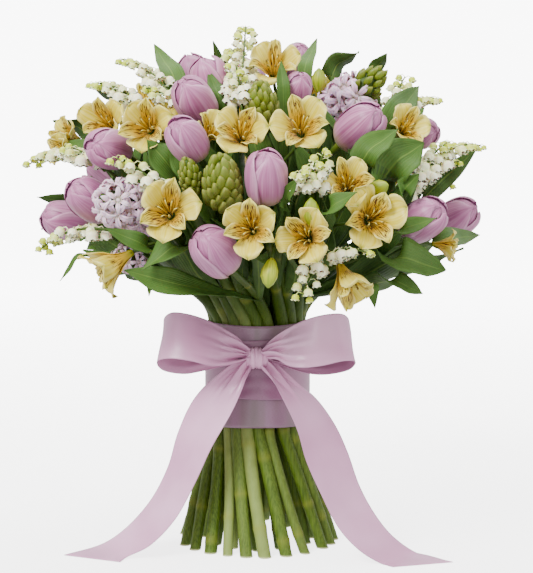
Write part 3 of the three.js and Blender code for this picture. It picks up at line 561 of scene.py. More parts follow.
# %% Peruvian lily finish
def peruvian_finish():
    f = Finish("cream_yellow_lily_petal", Roughness=0.45, Subsurface_Weight=0.1, Subsurface_Scale=0.005,
               Sheen_Weight=0.08)
    f.shader.inputs["Subsurface Radius"].default_value = (1.0, 0.9, 0.35)
    along, across, streak = f.mark("along"), f.math("ABSOLUTE", f.mark("across")), f.mark("streak")
    lines = streaks(f, 9.0, 1.0)
    body = f.blend(f.spread(lines, 0.3, 0.7), tint("dac95e"), tint("eee292"))
    golden = f.math("MULTIPLY_ADD", streak, 0.2, 0.66)
    golden = f.spread(f.minus(golden, along), 0.0, 0.4, 0.0, 0.95)
    body = f.over(body, golden, "dcb41c")
    # Darker olive over the lower petal: partly the bloom's own brownish centre, partly painted shade deep in the
    # funnel.
    body = f.over(body, f.spread(along, 0.12, 0.42, 0.6, 0.0), "7c7430")
    body = f.over(body, f.spread(f.times(across, f.spread(along, 0.3, 0.7)), 0.6, 1.0, 0, 0.5), "f0ebb4")
    body = f.over(body, f.times(f.spread(f.noise(f.place(), 45.0, 2.0), 0.5, 0.75), 0.35), "b39a45")
    tip = f.times(f.spread(along, 0.84, 1.0), f.spread(across, 0.0, 0.75, 1.0, 0.0))
    body = f.over(body, f.times(tip, 0.8), "7f9440")
    body = f.over(body, f.times(f.spread(along, 0.02, 0.16, 0.9, 0.0), 0.9), "9aa04a")
    wide = f.math("MULTIPLY_ADD", streak, -6.0, 20.0)
    dash = f.noise(f.vector(f.times(f.mark("across"), wide), f.times(along, 7.0),
                            f.times(f.mark("tone"), 91.0)), 1.0, 0.0)
    end = f.math("MULTIPLY_ADD", streak, 0.34, 0.54)
    where = f.times(f.spread(along, 0.2, 0.3), f.spread(f.minus(along, end), -0.1, 0.04, 1.0, 0.0))
    where = f.times(where, f.spread(across, 0.72, 0.95, 1.0, 0.0))
    dash = f.times(f.spread(dash, 0.53, 0.57), where)
    body = f.over(body, dash, "45260f")
    return f.finish(body, lines, 0.3, 0.0006)


peruvian_petal = peruvian_finish()
print(peruvian_petal.name, "has", len(peruvian_petal.node_tree.nodes), "nodes")

# %% [markdown]
# ### Greens, bells and florets
#
# Tulip leaves have straight parallel veins with a pale midrib; stems are paler, with faint streaks along
# them and a cut end that shows a light core. Bells and florets are waxy, and take their green from how
# near they stand to the tip of their head.

# %% Green finishes
def leaf_finish():
    f = Finish("fresh_green_leaf", Roughness=0.52, Specular_IOR_Level=0.22, Subsurface_Weight=0.04,
               Subsurface_Scale=0.003)
    across = f.math("ABSOLUTE", f.mark("across"))
    veins = f.math("SINE", f.times(f.mark("across"), 44.0))
    fine = streaks(f, 16.0, 1.2)
    patch = f.noise(f.place(), 38.0, 2.0)
    body = f.blend(f.spread(fine, 0.3, 0.7), tint("344928"), tint("4d633b"))
    body = f.over(body, f.spread(patch, 0.35, 0.7, 0.0, 0.5), "617a4a")
    body = f.over(body, f.spread(veins, 0.4, 1.0, 0.0, 0.12), "86a35e")
    body = f.over(body, f.spread(across, 0.0, 0.08, 0.5, 0.0), "9bb06c")
    body = f.over(body, f.times(f.mark("tone"), 0.6), "203a14")
    body = f.over(body, f.times(f.mark("inside"), 0.25), "6d8f4e")
    return f.finish(body, f.plus(f.times(veins, 0.35), fine), 0.4, 0.0006)


def stem_finish():
    f = Finish("yellow_green_stem", Roughness=0.5, Specular_IOR_Level=0.25, Subsurface_Weight=0.06,
               Subsurface_Scale=0.003)
    place = f.place()
    x, y, z = f.split(place)
    grain = f.noise(f.vector(f.times(x, 900.0), f.times(y, 900.0), f.times(z, 12.0)), 1.0, 3.0, 0.6)
    body = f.blend(f.spread(grain, 0.3, 0.7), tint("3f5222"), tint("60733a"))
    body = f.over(body, f.mark("tone"), "9ba870")
    body = f.over(body, f.times(f.spread(f.noise(place, 60.0, 2.0), 0.45, 0.7), 0.22), "394b20")
    # Painted shade: the stems from the top of the band upwards, under the flowers, are darkened by height.
    body = f.over(body, f.spread(z, 0.185, 0.225, 0.0, 0.85), "35491f")
    body = f.over(body, f.mark("scar"), "8d9150")
    body = f.over(body, f.spread(z, 0.0002, 0.0018, 0.85, 0.0), "dfe3b8")
    return f.finish(body, grain, 0.35, 0.0008)


def bud_finish():
    f = Finish("green_lily_bud", Roughness=0.45, Subsurface_Weight=0.06, Subsurface_Scale=0.004)
    lines = streaks(f, 8.0, 1.2)
    body = f.blend(f.spread(lines, 0.3, 0.7), tint("86983a"), tint("c3c668"))
    body = f.over(body, f.spread(f.mark("along"), 0.55, 1.0, 0.0, 0.6), "6f8a33")
    return f.finish(body, lines, 0.3, 0.0006)


leaf_green, stem_green, bud_green = leaf_finish(), stem_finish(), bud_finish()
print("green finishes:", leaf_green.name, stem_green.name, bud_green.name)

# %% Bells and florets
def waxy_finish(name, low, high, vein, edge, foot, from_share=0.25, rough=0.4, shade=0.85):
    """A waxy petal, from one colour at the foot of its head to another at the tip."""
    f = Finish(name, Roughness=rough, Subsurface_Weight=0.2, Subsurface_Scale=0.003)
    share = f.plus(f.mark("share"), f.times(f.minus(f.mark("tone"), 0.5), 0.3))
    body = f.blend(f.spread(share, from_share, from_share + 0.65), tint(low, shade), tint(high, shade))
    across = f.math("ABSOLUTE", f.mark("across"))
    body = f.over(body, f.spread(across, 0.0, 0.28, 0.65, 0.0), vein, shade)
    body = f.over(body, f.times(f.spread(f.mark("along"), 0.6, 1.0), 0.6), edge, shade)
    body = f.over(body, f.spread(f.mark("along"), 0.02, 0.3, 0.7, 0.0), foot, shade)
    return f.finish(body, f.noise(f.place(), 420.0, 2.0), 0.12, 0.0004)


bell_white = waxy_finish("white_bell", "fbf7dc", "c0cc66", "dfe6b0", "fffbe4", "cfd88a", 0.02, shade=1.02)
floret_green = waxy_finish("green_hyacinth_bud", "70793f", "768340", "4d5a24", "a3a76a", "525c26", rough=0.5)
floret_lilac = waxy_finish("lilac_hyacinth_floret", "ecc8e0", "e8d2dc", "a27fb2", "f8eef4", "a9ad80", shade=0.92)
anther = Finish("brown_anther", Roughness=0.6).finish(tint("7a6a3a"))
print("plant finishes:", len(bpy.data.materials))

# %% [markdown]
# ## Tulips
#
# A tulip in bud is six petals in two whorls of three. Each petal is a strip of a barrel that narrows to
# a point, and one edge lies over its neighbour, so it is drawn on a grid wrapped round the axis.

# %% Tulips
ALONG, ACROSS = np.linspace(0, 1, 20)[:, None], np.linspace(-1, 1, 13)[None, :]
PETAL = 0.55  # a petal's thickness, in mm, like all that follows
BARREL = (48, 16.8)  # a tulip's length and radius


def tulip(length, radius, rng):
    """Six petals, three within three. Each is a strip of a barrel, and its one edge laps over the next."""
    parts, opening, shape = [], rng.uniform(0, 0.14), rng.random()
    for k in range(6):
        inner = k % 2
        middle = math.radians(60 * k + rng.normal(0, 2.5))
        s, t = ALONG, ACROSS
        open_up = 0.0 if inner else opening
        mouth = [0.71 + 0.4 * open_up, 0.46 + 0.7 * open_up, 0.2 + open_up]
        barrel = ease(s, [0, 0.06, 0.14, 0.32, 0.5, 0.72, 0.87, 0.95, 1],
                      [0.22, 0.56, 0.79, 0.95, 0.99, 0.92, *mouth])
        if inner:
            barrel = np.where(s < 0.72, barrel, ease(s, [0, 0.72, 0.87, 0.95, 1], [0.9, 0.92, 0.68, 0.38, 0.02]))
            half = math.radians(66) + 0 * s
        else:
            half = math.radians(69) * ease(s, [0, 0.1, 0.4, 0.62, 0.8, 0.92, 1],
                                           [0.85, 0.96, 1, 0.97, 0.82, 0.6, 0.15])
        ripple = 0.022 * np.sin(8 * s + 3 * t + k + 5 * shape) * np.abs(t)
        lap = 0.045 * t + 0.025 * np.exp(-(t / 0.14) ** 2) * (1 - 0.6 * s)
        reach = radius * (barrel * (0.93 if inner else 1.0) + lap * (1 - 0.6 * s) + ripple)
        tall = length * (0.975 if inner else 1.0) * (1 - 0.03 * rng.random())
        angle = middle + t * half
        grid = np.stack([reach * np.cos(angle), reach * np.sin(angle),
                         np.broadcast_to(tall * s, angle.shape) - 0.035 * length * t * t * s ** 4], 2)
        parts.append((shell(grid[:, ::-1], PETAL, along=s, across=t, tone=rng.random()), 0))
    return parts


flowers = []


def add_tulip(number, foot, tip, size, turn):
    name = f"tulip_{number:02d}"
    rng = np.random.default_rng(100 + number)
    place = standing(foot, tip, turn)
    parts = [(put(part, place), finish) for part, finish in tulip(BARREL[0] * size, BARREL[1] * size, rng)]
    way = toward(foot, tip)
    cup = [ring(foot + way * h, way, r * size, 12) for h, r in ((0, 3.9), (1.5, 5), (3.4, 3))]
    parts.append((skin(cup, tone=0.2), 1))
    piece(name + "_petals", parts, [tulip_petal, stem_green], name)
    flowers.append(dict(name=name, foot=foot, heading=way, slim=STEM["slim"]))


for i, (foot, tip, lift, size) in enumerate(TULIPS):
    add_tulip(i + 1, *seat(foot, tip, lift, LONG["tulip"] * size), size, 25 * i)
print("tulips in front:", len(flowers))

# %% [markdown]
# ## Hyacinths
#
# A hyacinth's head is one floret repeated by a rule: each stands a golden angle round from the last and
# a little higher, on a spindle that bulges in its middle. That rule is a job for Geometry Nodes. The
# tree below places a floret on each point of a line that it bends to the spindle's spiral.

# %% A helper for node trees
class Tree(Sums):
    """A tree of Geometry Nodes with named inputs."""

    def __init__(self, name, **sockets):
        self.group = bpy.data.node_groups.new(name, "GeometryNodeTree")
        face = self.group.interface
        face.new_socket("Geometry", in_out="INPUT", socket_type="NodeSocketGeometry")
        for socket, kind in sockets.items():
            face.new_socket(socket, in_out="INPUT", socket_type="NodeSocket" + kind)
        face.new_socket("Geometry", in_out="OUTPUT", socket_type="NodeSocketGeometry")
        self.start = self.group.nodes.new("NodeGroupInput")
        self.end = self.group.nodes.new("NodeGroupOutput")

    def given(self, name):
        return self.start.outputs[name]

    def add(self, kind, out=0, settings=(), **inputs):
        node = self.group.nodes.new(kind)
        for key, value in dict(settings).items():
            setattr(node, key, value)
        for key, value in inputs.items():
            self.fill(node.inputs[key.replace("_", " ")], value)
        return node.outputs[out]

    def fill(self, socket, value):
        if isinstance(value, bpy.types.NodeSocket):
            self.group.links.new(value, socket)
        else:
            socket.default_value = value

    def math(self, operation, a, b=0.0, c=0.0):
        node = self.group.nodes.new("ShaderNodeMath")
        node.operation = operation
        for socket, value in zip(node.inputs, (a, b, c)):
            self.fill(socket, value)
        return node.outputs[0]

    def vector(self, x, y, z):
        return self.add("ShaderNodeCombineXYZ", X=x, Y=y, Z=z)

    def chance(self, low, high, seed):
        node = self.group.nodes.new("FunctionNodeRandomValue")
        node.data_type = "FLOAT"
        for number, value in ((2, low), (3, high)):
            self.fill(node.inputs[number], value)
        self.fill(node.inputs["Seed"], seed)
        return node.outputs[1]

    def store(self, geometry, name, value, domain="POINT"):
        return self.add("GeometryNodeStoreNamedAttribute", settings=dict(data_type="FLOAT", domain=domain),
                        Geometry=geometry, Name=name, Value=value)

    def copies(self, points, shape, facing, size):
        """A shape on each point, each with a tone of its own."""
        shape = self.add("GeometryNodeObjectInfo", out=4, Object=shape)
        copies = self.add("GeometryNodeInstanceOnPoints", Points=points, Instance=shape, Rotation=facing,
                          Scale=self.vector(size, size, size))
        return self.store(copies, "tone", self.chance(0.0, 1.0, self.seed(3.0)), "INSTANCE")

    def seed(self, more):
        return self.plus(self.given("Seed"), more)

    def made(self, geometry, finish):
        """Real faces with a finish, because the export drops instances."""
        geometry = self.add("GeometryNodeRealizeInstances", Geometry=geometry)
        return self.add("GeometryNodeSetMaterial", Geometry=geometry, Material=self.given(finish))

    def close(self, geometry):
        self.group.links.new(geometry, self.end.inputs[0])
        return self

    def join(self, *geometries):
        node = self.group.nodes.new("GeometryNodeJoinGeometry")
        for geometry in geometries:
            self.group.links.new(geometry, node.inputs[0])
        return node.outputs[0]


def grown(base, tree, **inputs):
    """The plain mesh that a tree of nodes makes from a base mesh."""
    stand = bpy.data.objects.new("stand", base)
    bpy.context.scene.collection.objects.link(stand)
    modifier = stand.modifiers.new("rule", "NODES")
    modifier.node_group = tree.group
    for item in tree.group.interface.items_tree:
        if item.in_out == "INPUT" and item.name in inputs:
            modifier[item.identifier] = inputs[item.name]
    depsgraph = bpy.context.evaluated_depsgraph_get()
    mesh = bpy.data.meshes.new_from_object(stand.evaluated_get(depsgraph), preserve_all_data_layers=True,
                                           depsgraph=depsgraph)
    bpy.data.objects.remove(stand)
    return mesh


def pattern(name, parts):
    """A shape that a tree repeats. It is removed when the last tree has used it."""
    return bpy.data.objects.new(name, mesh_of(name, parts))


print("node trees so far:", len(bpy.data.node_groups))

# %% The spindle tree
GOLDEN_ANGLE = 2.39996  # radians, by which each floret or bell stands round from the last


def spindle_tree():
    t = Tree("florets on a spindle", Floret="Object", Count="Int", Length="Float", Radius="Float", From="Float",
             To="Float", Size="Float", Pitch="Float", Seed="Int", Finish="Material")
    index = t.add("GeometryNodeInputIndex")
    turn = t.times(index, GOLDEN_ANGLE)
    step = t.math("DIVIDE", t.plus(index, 0.5), t.given("Count"))
    share = t.plus(t.given("From"), t.times(step, t.minus(t.given("To"), t.given("From"))))
    slope = t.math("MULTIPLY_ADD", share, 1.7, -0.75)
    girth = t.math("SQRT", t.minus(1.0, t.times(slope, slope)))
    reach = t.times(t.times(t.given("Radius"), girth), t.chance(0.93, 1.05, t.given("Seed")))
    x, y = t.math("COSINE", turn), t.math("SINE", turn)
    spot = t.vector(t.times(x, reach), t.times(y, reach), t.times(share, t.given("Length")))
    line = t.add("GeometryNodeMeshLine", Count=t.given("Count"))
    points = t.add("GeometryNodeSetPosition", Geometry=line, Position=spot)
    points = t.store(points, "share", share)
    tilt = t.plus(t.given("Pitch"), t.times(t.times(share, share), 1.1))
    level = t.math("COSINE", tilt)
    way = t.vector(t.times(x, level), t.times(y, level), t.math("SINE", tilt))
    facing = t.add("FunctionNodeAlignRotationToVector", settings=dict(axis="Z"), Vector=way)
    size = t.times(t.given("Size"), t.math("MULTIPLY_ADD", share, -0.3, 1.1))
    size = t.times(size, t.chance(0.88, 1.1, t.seed(7.0)))
    florets = t.copies(points, t.given("Floret"), facing, size)
    return t.close(t.join(t.given("Geometry"), t.made(florets, "Finish")))


spindle = spindle_tree()
print("spindle tree:", len(spindle.group.nodes), "nodes")

# %% Florets in bud and open
def lobes(radius, height, count, depth, steps=12):
    """Points round the Z axis, with a number of rounded lobes as deep as said."""
    a = round_turn(steps)
    r = radius * (1 + depth * np.cos(count * a))
    return np.stack([r * np.cos(a), r * np.sin(a), np.full(steps, height)], 1)


def between_lobes(steps):
    """A mark that is 0 along three seams of a bud and 1 midway between them."""
    return np.abs(np.sin(1.5 * 2 * math.pi * np.arange(steps) / steps))[None, :]


# One unit is a floret's length, from its root at the origin to its tip. Rings: radius, height, depth of lobes.
BUD_RINGS = ((0.12, -0.1, 0.0), (0.25, 0.12, 0.06), (0.31, 0.42, 0.15), (0.26, 0.70, 0.24), (0.14, 0.92, 0.28),
             (0.02, 1.08, 0.0))
bud_rings = [lobes(r, h, 3, depth, 9) for r, h, depth in BUD_RINGS]
bud_shape = [(skin(bud_rings, along=np.linspace(0, 1, 6)[:, None], across=between_lobes(9)), 0)]


def turned_by(a, x, y):
    return x * math.cos(a) - y * math.sin(a), x * math.sin(a) + y * math.cos(a)


def star():
    """An open floret: a short tube and six petals that curl back."""
    throat = [lobes(r, h, 1, 0, 6) for r, h in ((0.1, -0.3), (0.17, 0.1), (0.16, 0.42))]
    parts = [(skin(throat, along=0.2, across=0.6), 0)]
    s, t = np.linspace(0, 1, 5)[:, None], np.linspace(-1, 1, 3)[None, :]
    for k in range(6):
        out = ease(s, [0, 0.4, 1], [0.1, 0.5, 0.98]) + 0 * t
        up = ease(s, [0, 0.4, 0.8, 1], [0.3, 0.6, 0.5, 0.24]) + 0.07 * t * t
        wide = ease(s, [0, 0.5, 1], [0.09, 0.17, 0.03]) * t
        grid = np.stack([*turned_by(math.radians(60 * k), out, wide), up + 0 * out], 2)
        parts.append((shell(grid, 0.05, along=s, across=t), 0))
    return parts


bud, open_floret = pattern("floret in bud", bud_shape), pattern("open floret", star())


HALF_OPEN = 4  # the hyacinth whose upper florets are still green


def add_hyacinth(number, foot, tip, length, radius, is_open, turn):
    name = f"hyacinth_{number:02d}"
    place = standing(foot, tip, turn)
    core = skin([lobes(r * radius, h * length, 1, 0, 8) for h, r in
                 ((0, 0.3), (0.14, 0.5), (0.4, 0.62), (0.7, 0.5), (0.93, 0.15))], tone=0.3)
    base = mesh_of(name, [(core, 0)], [stem_green])
    common = dict(Length=length / 1000 * 0.92, Seed=number)
    if is_open:
        common["Radius"] = radius / 1000 * 0.5
        reach = 0.55 if number == HALF_OPEN else 0.84
        mesh = grown(base, spindle, Floret=open_floret, Count=int(radius * 1.7 * reach), From=0.02, To=reach,
                     Size=0.74 * radius, Pitch=0.15, Finish=floret_lilac, **common)
        mesh = grown(mesh, spindle, Floret=bud, Count=int(44 * (1 - reach)), From=reach, To=0.96,
                     Size=0.56 * radius, Pitch=0.75,
                     Finish=floret_green if number == HALF_OPEN else floret_lilac, **common)
    else:
        common["Radius"] = radius / 1000 * 0.52
        mesh = grown(base, spindle, Floret=bud, Count=int(24 + radius * 1.8), From=0.0, To=0.86,
                     Size=0.84 * radius + 1, Pitch=1.0, Finish=floret_green, **common)
    mesh.transform(matrix_of(place))
    smooth(mesh)
    link(bpy.data.objects.new(name + "_head", mesh), name)
    flowers.append(dict(name=name, foot=foot, heading=toward(foot, tip), slim=STEM["slim"] + 1))


for i, (foot, tip, lift, length, radius, is_open) in enumerate(HYACINTHS):
    add_hyacinth(i + 1, *seat(foot, tip, lift, length), length, radius, is_open, 30 * i)
heads = [o.data for o in bpy.data.objects if o.name.endswith("_head")]
print("hyacinths:", len(heads), "with", sum(len(head.polygons) for head in heads), "faces")

# %% [markdown]
# ## Peruvian lilies
#
# A Peruvian lily has three broad outer petals and three narrow inner ones round a funnel, with curved
# stamens. Several stand on slim stalks from one hub. The petals are grids again: each rises from the
# funnel and then flares, and its width swells and ends in a small point.

# %% Peruvian lilies
def lily_petal(length, radius, turn, inner, rng):
    """One petal, which rises from the funnel and flares. The three inner ones are narrow."""
    s, t = np.linspace(0, 1, 17)[:, None], np.linspace(-1, 1, 11)[None, :]
    far = (0.9 if inner else 1.0) * rng.uniform(0.86, 1.04)
    out = radius * far * ease(s, [0, 0.2, 0.4, 0.72, 1], [0.07, 0.15, 0.31, 0.68, 1.0])
    rise = [0.0, 0.24, 0.5, 0.9, 1.02, 1.03] if inner else [0.0, 0.24, 0.49, 0.82, 0.92, 0.88]
    up = length * (ease(s, [0, 0.2, 0.4, 0.72, 0.9, 1], rise) + rng.normal(0, 0.09) * s * s)
    if inner:
        half = radius * 0.27 * ease(s, [0, 0.2, 0.5, 0.7, 0.88, 1], [0.3, 0.46, 0.92, 1, 0.56, 0.02])
    else:
        half = radius * 0.47 * ease(s, [0, 0.2, 0.45, 0.72, 0.88, 0.96, 1], [0.18, 0.32, 0.76, 1, 0.8, 0.36, 0.03])
    half = half * rng.uniform(0.86, 1.1)
    ruffle = np.sin(11 * s + 4 * t + 9 * rng.random()) + 0.5 * np.sin(23 * s + 7 * rng.random())
    ruffle = 0.085 * radius * ruffle * t * t * s
    half = half * (1 + 0.09 * np.sin(19 * s + 9 * rng.random()) * np.abs(t) * s)
    cup = (0.5 if inner else 0.2) * half * t * t + ruffle
    keel = -0.045 * radius * np.exp(-(t / 0.18) ** 2) * s
    a = math.radians(turn + rng.normal(0, 5))
    x, y = out - 0.25 * cup + 0 * t, half * t + rng.normal(0, 0.07) * radius * s * s
    grid = np.stack([*turned_by(a, x, y), up + cup + keel], 2)
    return shell(grid, 0.5, along=s, across=t, tone=rng.random(), streak=float(inner))


ANTHER = ((-1.4, 0.3), (-0.6, 0.95), (0.9, 1.0), (1.7, 0.3))  # heights and radii
BASE = ((0.02, 0, 0.1), (0.09, 0.04, 0.1), (0.13, 0.22, 0.08))  # radius, height and depth of the lobes


def lily_bloom(length, radius, rng):
    parts = [(lily_petal(length, radius, 60 * k, k % 2, rng), 0) for k in range(6)]
    base = [lobes(r * radius, h * length, 3, depth) for r, h, depth in BASE]
    parts.append((skin(base, along=0.1, tone=0.5), 1))
    for k in range(6):
        a = 60 * k + 30 + rng.normal(0, 10)
        bend = radius * (0.2 + 0.16 * rng.random())
        route = bezier(polar(0.04 * radius, a, 0.2 * length), polar(0.1 * radius, a, 0.6 * length),
                       polar(bend * 0.7, a, 0.95 * length), polar(bend, a, 0.86 * length), 7)
        parts.append((tube(route, 0.45, 5, across=0.9, tone=0.5), 0))
        head = [ring(route[-1] + vec(0, 0, h), vec(0, 0, 1), r, 6) for h, r in ANTHER]
        parts.append((skin(head), 3))
    return parts


def lily_bud(length, radius, rng):
    rings = [lobes(radius * r, length * h, 3, depth) for h, r, depth in
             ((0, 0.2, 0), (0.12, 0.55, 0.04), (0.4, 0.95, 0.06), (0.62, 0.96, 0.08), (0.85, 0.6, 0.1), (1.0, 0.12, 0))]
    return [(skin(rings, along=np.linspace(0, 1, 6)[:, None], across=between_lobes(12), tone=rng.random()), 2)]


BLOOM, BUD = (34, 25), (24, 7)  # length and radius


def add_peruvian(number, seats, sink):
    """seats: foot, tip, size, or None for a bud."""
    name = f"peruvian_lilies_{number:02d}"
    rng = np.random.default_rng(300 + number)
    middle = sum(foot for foot, _, _ in seats) / len(seats)
    hub = mix(middle, vec(0, 0, HEAD["middle"] - 55), sink)
    heading = toward(hub, middle)
    parts = [(tube(np.array([hub, hub + heading * 3, hub + heading * 6]), [2.9, 3.1, 2.2], 10, tone=0.2), 1)]
    for i, (foot, tip, size) in enumerate(seats):
        lead, way = np.linalg.norm(foot - hub) * 0.4, toward(foot, tip)
        start = hub + heading * 3
        route = bezier(start, start + heading * lead, foot - way * lead, foot + way * 2, 10)
        parts.append((tube(route, 1.5, 8, tone=0.35), 1))
        place = standing(foot, tip, 40 * i + 15)
        made = lily_bud(*BUD, rng) if size is None else lily_bloom(BLOOM[0] * size, BLOOM[1] * size, rng)
        parts += [(put(part, place), finish) for part, finish in made]
    piece(name + "_blooms", parts, [peruvian_petal, stem_green, bud_green, anther], name)
    flowers.append(dict(name=name, foot=hub, heading=heading, slim=3.0))


for i, (blooms, buds, sink) in enumerate(PERUVIANS):
    add_peruvian(i + 1, [(*seat(foot, tip, lift, LONG["lily"] * size), size) for foot, tip, lift, size in blooms]
                 + [(*seat(foot, tip, lift, LONG["bud"]), None) for foot, tip, lift in buds], sink)
print("flowers in front:", len(flowers))

# %% [markdown]
# ## Lily of the valley
#
# Each spray is an arched stalk hung with nodding bells that grow smaller towards its tip. The bells
# always hang straight down, whichever way the stalk leans, so the second tree turns each copy about the
# vertical alone.

# %% The spray tree
def spray_tree():
    t = Tree("bells along a stalk", Bell="Object", Count="Int", First="Float", Near="Float", Far="Float",
             Stalk="Float", Seed="Int", BellFinish="Material", StalkFinish="Material")
    curve = t.add("GeometryNodeMeshToCurve", Mesh=t.given("Geometry"))
    slim = t.math("MULTIPLY_ADD", t.add("GeometryNodeSplineParameter"), -0.5, 1.0)
    profile = t.add("GeometryNodeCurvePrimitiveCircle", settings=dict(mode="RADIUS"), Resolution=7,
                    Radius=t.given("Stalk"))
    stalk = t.add("GeometryNodeCurveToMesh", Curve=curve, Profile_Curve=profile, Scale=slim, Fill_Caps=True)
    stalk = t.store(stalk, "tone", 0.45)
    stalk = t.add("GeometryNodeSetMaterial", Geometry=stalk, Material=t.given("StalkFinish"))
    part = t.add("GeometryNodeTrimCurve", settings=dict(mode="FACTOR"), Curve=curve, Start=t.given("First"),
                 End=1.0)
    spots = t.add("GeometryNodeResampleCurve", settings=dict(mode="COUNT"), Curve=part, Count=t.given("Count"))
    points = t.add("GeometryNodeCurveToPoints", settings=dict(mode="EVALUATED"), Curve=spots)
    index = t.add("GeometryNodeInputIndex")
    share = t.math("DIVIDE", index, t.given("Count"))
    points = t.store(points, "share", t.times(share, share))
    size = t.plus(t.given("Near"), t.times(share, t.minus(t.given("Far"), t.given("Near"))))
    size = t.times(size, t.chance(0.85, 1.12, t.given("Seed")))
    turn = t.plus(t.times(index, GOLDEN_ANGLE), t.chance(-0.4, 0.4, t.seed(5.0)))
    tip = t.chance(-0.3, 0.25, t.seed(9.0))
    facing = t.add("FunctionNodeEulerToRotation", Euler=t.vector(0.0, tip, turn))
    bells = t.copies(points, t.given("Bell"), facing, size)
    return t.close(t.join(stalk, t.made(bells, "BellFinish")))


spray = spray_tree()
print("spray tree:", len(spray.group.nodes), "nodes")

# %% One bell
def bell_shape():
    """A bell on its own short stalk, which leaves the stem towards +X. Its six lobes curl outwards."""
    crown, parts = vec(8.2, 0, 1.0), []
    stalk = bezier(vec(0, 0, 0), vec(3.5, 0, 3.2), vec(7.5, 0, 3.4), crown + vec(0, 0, -0.4), 4)
    parts.append((tube(stalk[::2], 0.5, 3, across=0.1), 0))
    down, front = unit(vec(0.3, 0, -1)), vec(0, 1, 0)
    side = unit(np.cross(down, front))
    a, rings = round_turn(12), []
    # How far each ring hangs below the crown, its radius, and 1 where it has lobes.
    for drop, radius, lobe in ((0, 1.0, 0), (1.2, 3.3, 0), (3.3, 4.3, 0), (5.7, 3.8, 0), (7.2, 4.6, 1), (3.6, 2.8, 0)):
        r = radius * (1 + 0.14 * lobe * np.cos(6 * a))
        height = drop - 0.5 * lobe * np.cos(6 * a)
        rings.append(crown + down * height[:, None]
                     + r[:, None] * (np.cos(a)[:, None] * side + np.sin(a)[:, None] * front))
    along = np.array([0, 0.16, 0.4, 0.7, 1, 0.3])[:, None]
    parts.append((skin(rings, along=along, across=0.9), 0))
    return parts


bell = pattern("bell", bell_shape())


def spray_route(foot, tip, steps=24):
    """An arch from foot to tip."""
    rise = vec(0, 0, np.linalg.norm(tip - foot) * 0.12)
    return bezier(foot, mix(foot, tip, 0.35) + rise, mix(foot, tip, 0.7) + rise, tip, steps)


def wire(name, routes, **marks):
    """A mesh of edges alone along routes, for a tree to follow."""
    mesh = bpy.data.meshes.new(name)
    verts, edges, first = [], [], 0
    for route in routes:
        verts.append(route)
        edges += [(first + i, first + i + 1) for i in range(len(route) - 1)]
        first += len(route)
    mesh.from_pydata((np.vstack(verts) / 1000).tolist(), edges, [])
    for mark, values in marks.items():
        keep(mesh, mark, np.concatenate(values))
    return mesh


sprays = []
# More stalks that show on a spray: the pixel of each tip, and its lift.
SIDE_STALKS = {1: [(236, 66, -4)], 7: [(300, 172, 4), (326, 150, 2)]}
FEWEST, MOST, APART = 12, 28, 2.9  # bells on a stalk, and how far apart they hang


def add_spray(number, foot, tips):
    name = f"lily_of_the_valley_{number:02d}"
    more = [on_dome((u, v), lift) for u, v, lift in SIDE_STALKS.get(number, [])]
    routes = [spray_route(foot, tip) for tip in tips + more]
    for i, route in enumerate(routes):
        length = np.linalg.norm(np.diff(route, axis=0), axis=1).sum()
        count = int(min(MOST, max(FEWEST, length / APART)))
        mesh = grown(wire(name, [route]), spray, Bell=bell, Count=count, First=0.08, Near=1.22, Far=0.62,
                     Stalk=0.0013, Seed=10 * number + i, BellFinish=bell_white, StalkFinish=stem_green)
        smooth(mesh)
        link(bpy.data.objects.new(f"{name}_spray_{i + 1}", mesh), name)
    coarse = [spray_route(foot, tip, 4) for tip in tips]
    sprays.append(dict(name=name, foot=foot, heading=toward(foot, sum(r[1] for r in coarse) / len(coarse))))


for i, (foot, tips, lift) in enumerate(SPRAYS):
    add_spray(i + 1, on_dome(foot, lift - 22), [on_dome(tip, lift) for tip in tips])
print("sprays in front:", len(sprays))

# %% [markdown]
# ## The back of the bouquet
#
# Nothing is seen of the back, but a hand-tied bunch is round, so it is filled with the same flowers by a
# plain list of directions.

# %% The back
for i, (turn, height) in enumerate(BACK["tulips"]):
    add_tulip(len(TULIPS) + i + 1, *outwards(turn, height, LONG["tulip"]), 1, 25 * i)
length = LONG["hyacinth"]
for i, (turn, height) in enumerate(BACK["hyacinths"]):
    add_hyacinth(len(HYACINTHS) + i + 1, *outwards(turn, height, length), length, 18, i == 1, 40 * i)
for i, places in enumerate(BACK["peruvians"]):
    add_peruvian(len(PERUVIANS) + i + 1, [(*outwards(turn, height, LONG["lily"]), 1) for turn, height in places], 0.34)
for i, (turn, height) in enumerate(BACK["sprays"]):
    add_spray(len(SPRAYS) + i + 1, dome_place(turn, height, 60),
              [dome_place(turn - 10, height + 6), dome_place(turn + 8, height - 2)])
for shape in (bud, open_floret, bell):
    bpy.data.objects.remove(shape)
print("flowers:", len(flowers), "sprays:", len(sprays))

# %% [markdown]
# ## Stems
#
# Every stem runs from its cut end through the band to its own flower. The bunch is shared out in thirds
# by direction, and in each third the highest flowers take the inner ring at the band. A tree sweeps a
# round section along each route, as thick as the mark that the route carries.

# %% Where each stem passes the band
RINGS = [(20.0, [-14, 14]), (29.2, [-42, -14, 14, 42]), (38.0, [-49.7, -35.5, -21.3, -7.1, 7.1, 21.3, 35.5, 49.7])]
THIRDS = [("left", -125), ("right", -5), ("back", 116)]
SPREAD = dict(inner=24.0, outer=69.0, turn=20.0)
FIRST_AZIMUTH = -200  # degrees, where the count of thirds begins


def steepness(f):
    return -math.atan2(f["foot"][2] - BAND["high"], math.hypot(f["foot"][0], f["foot"][1]))


def from_first(f):
    return (azimuth(f["foot"]) - FIRST_AZIMUTH + 720) % 360


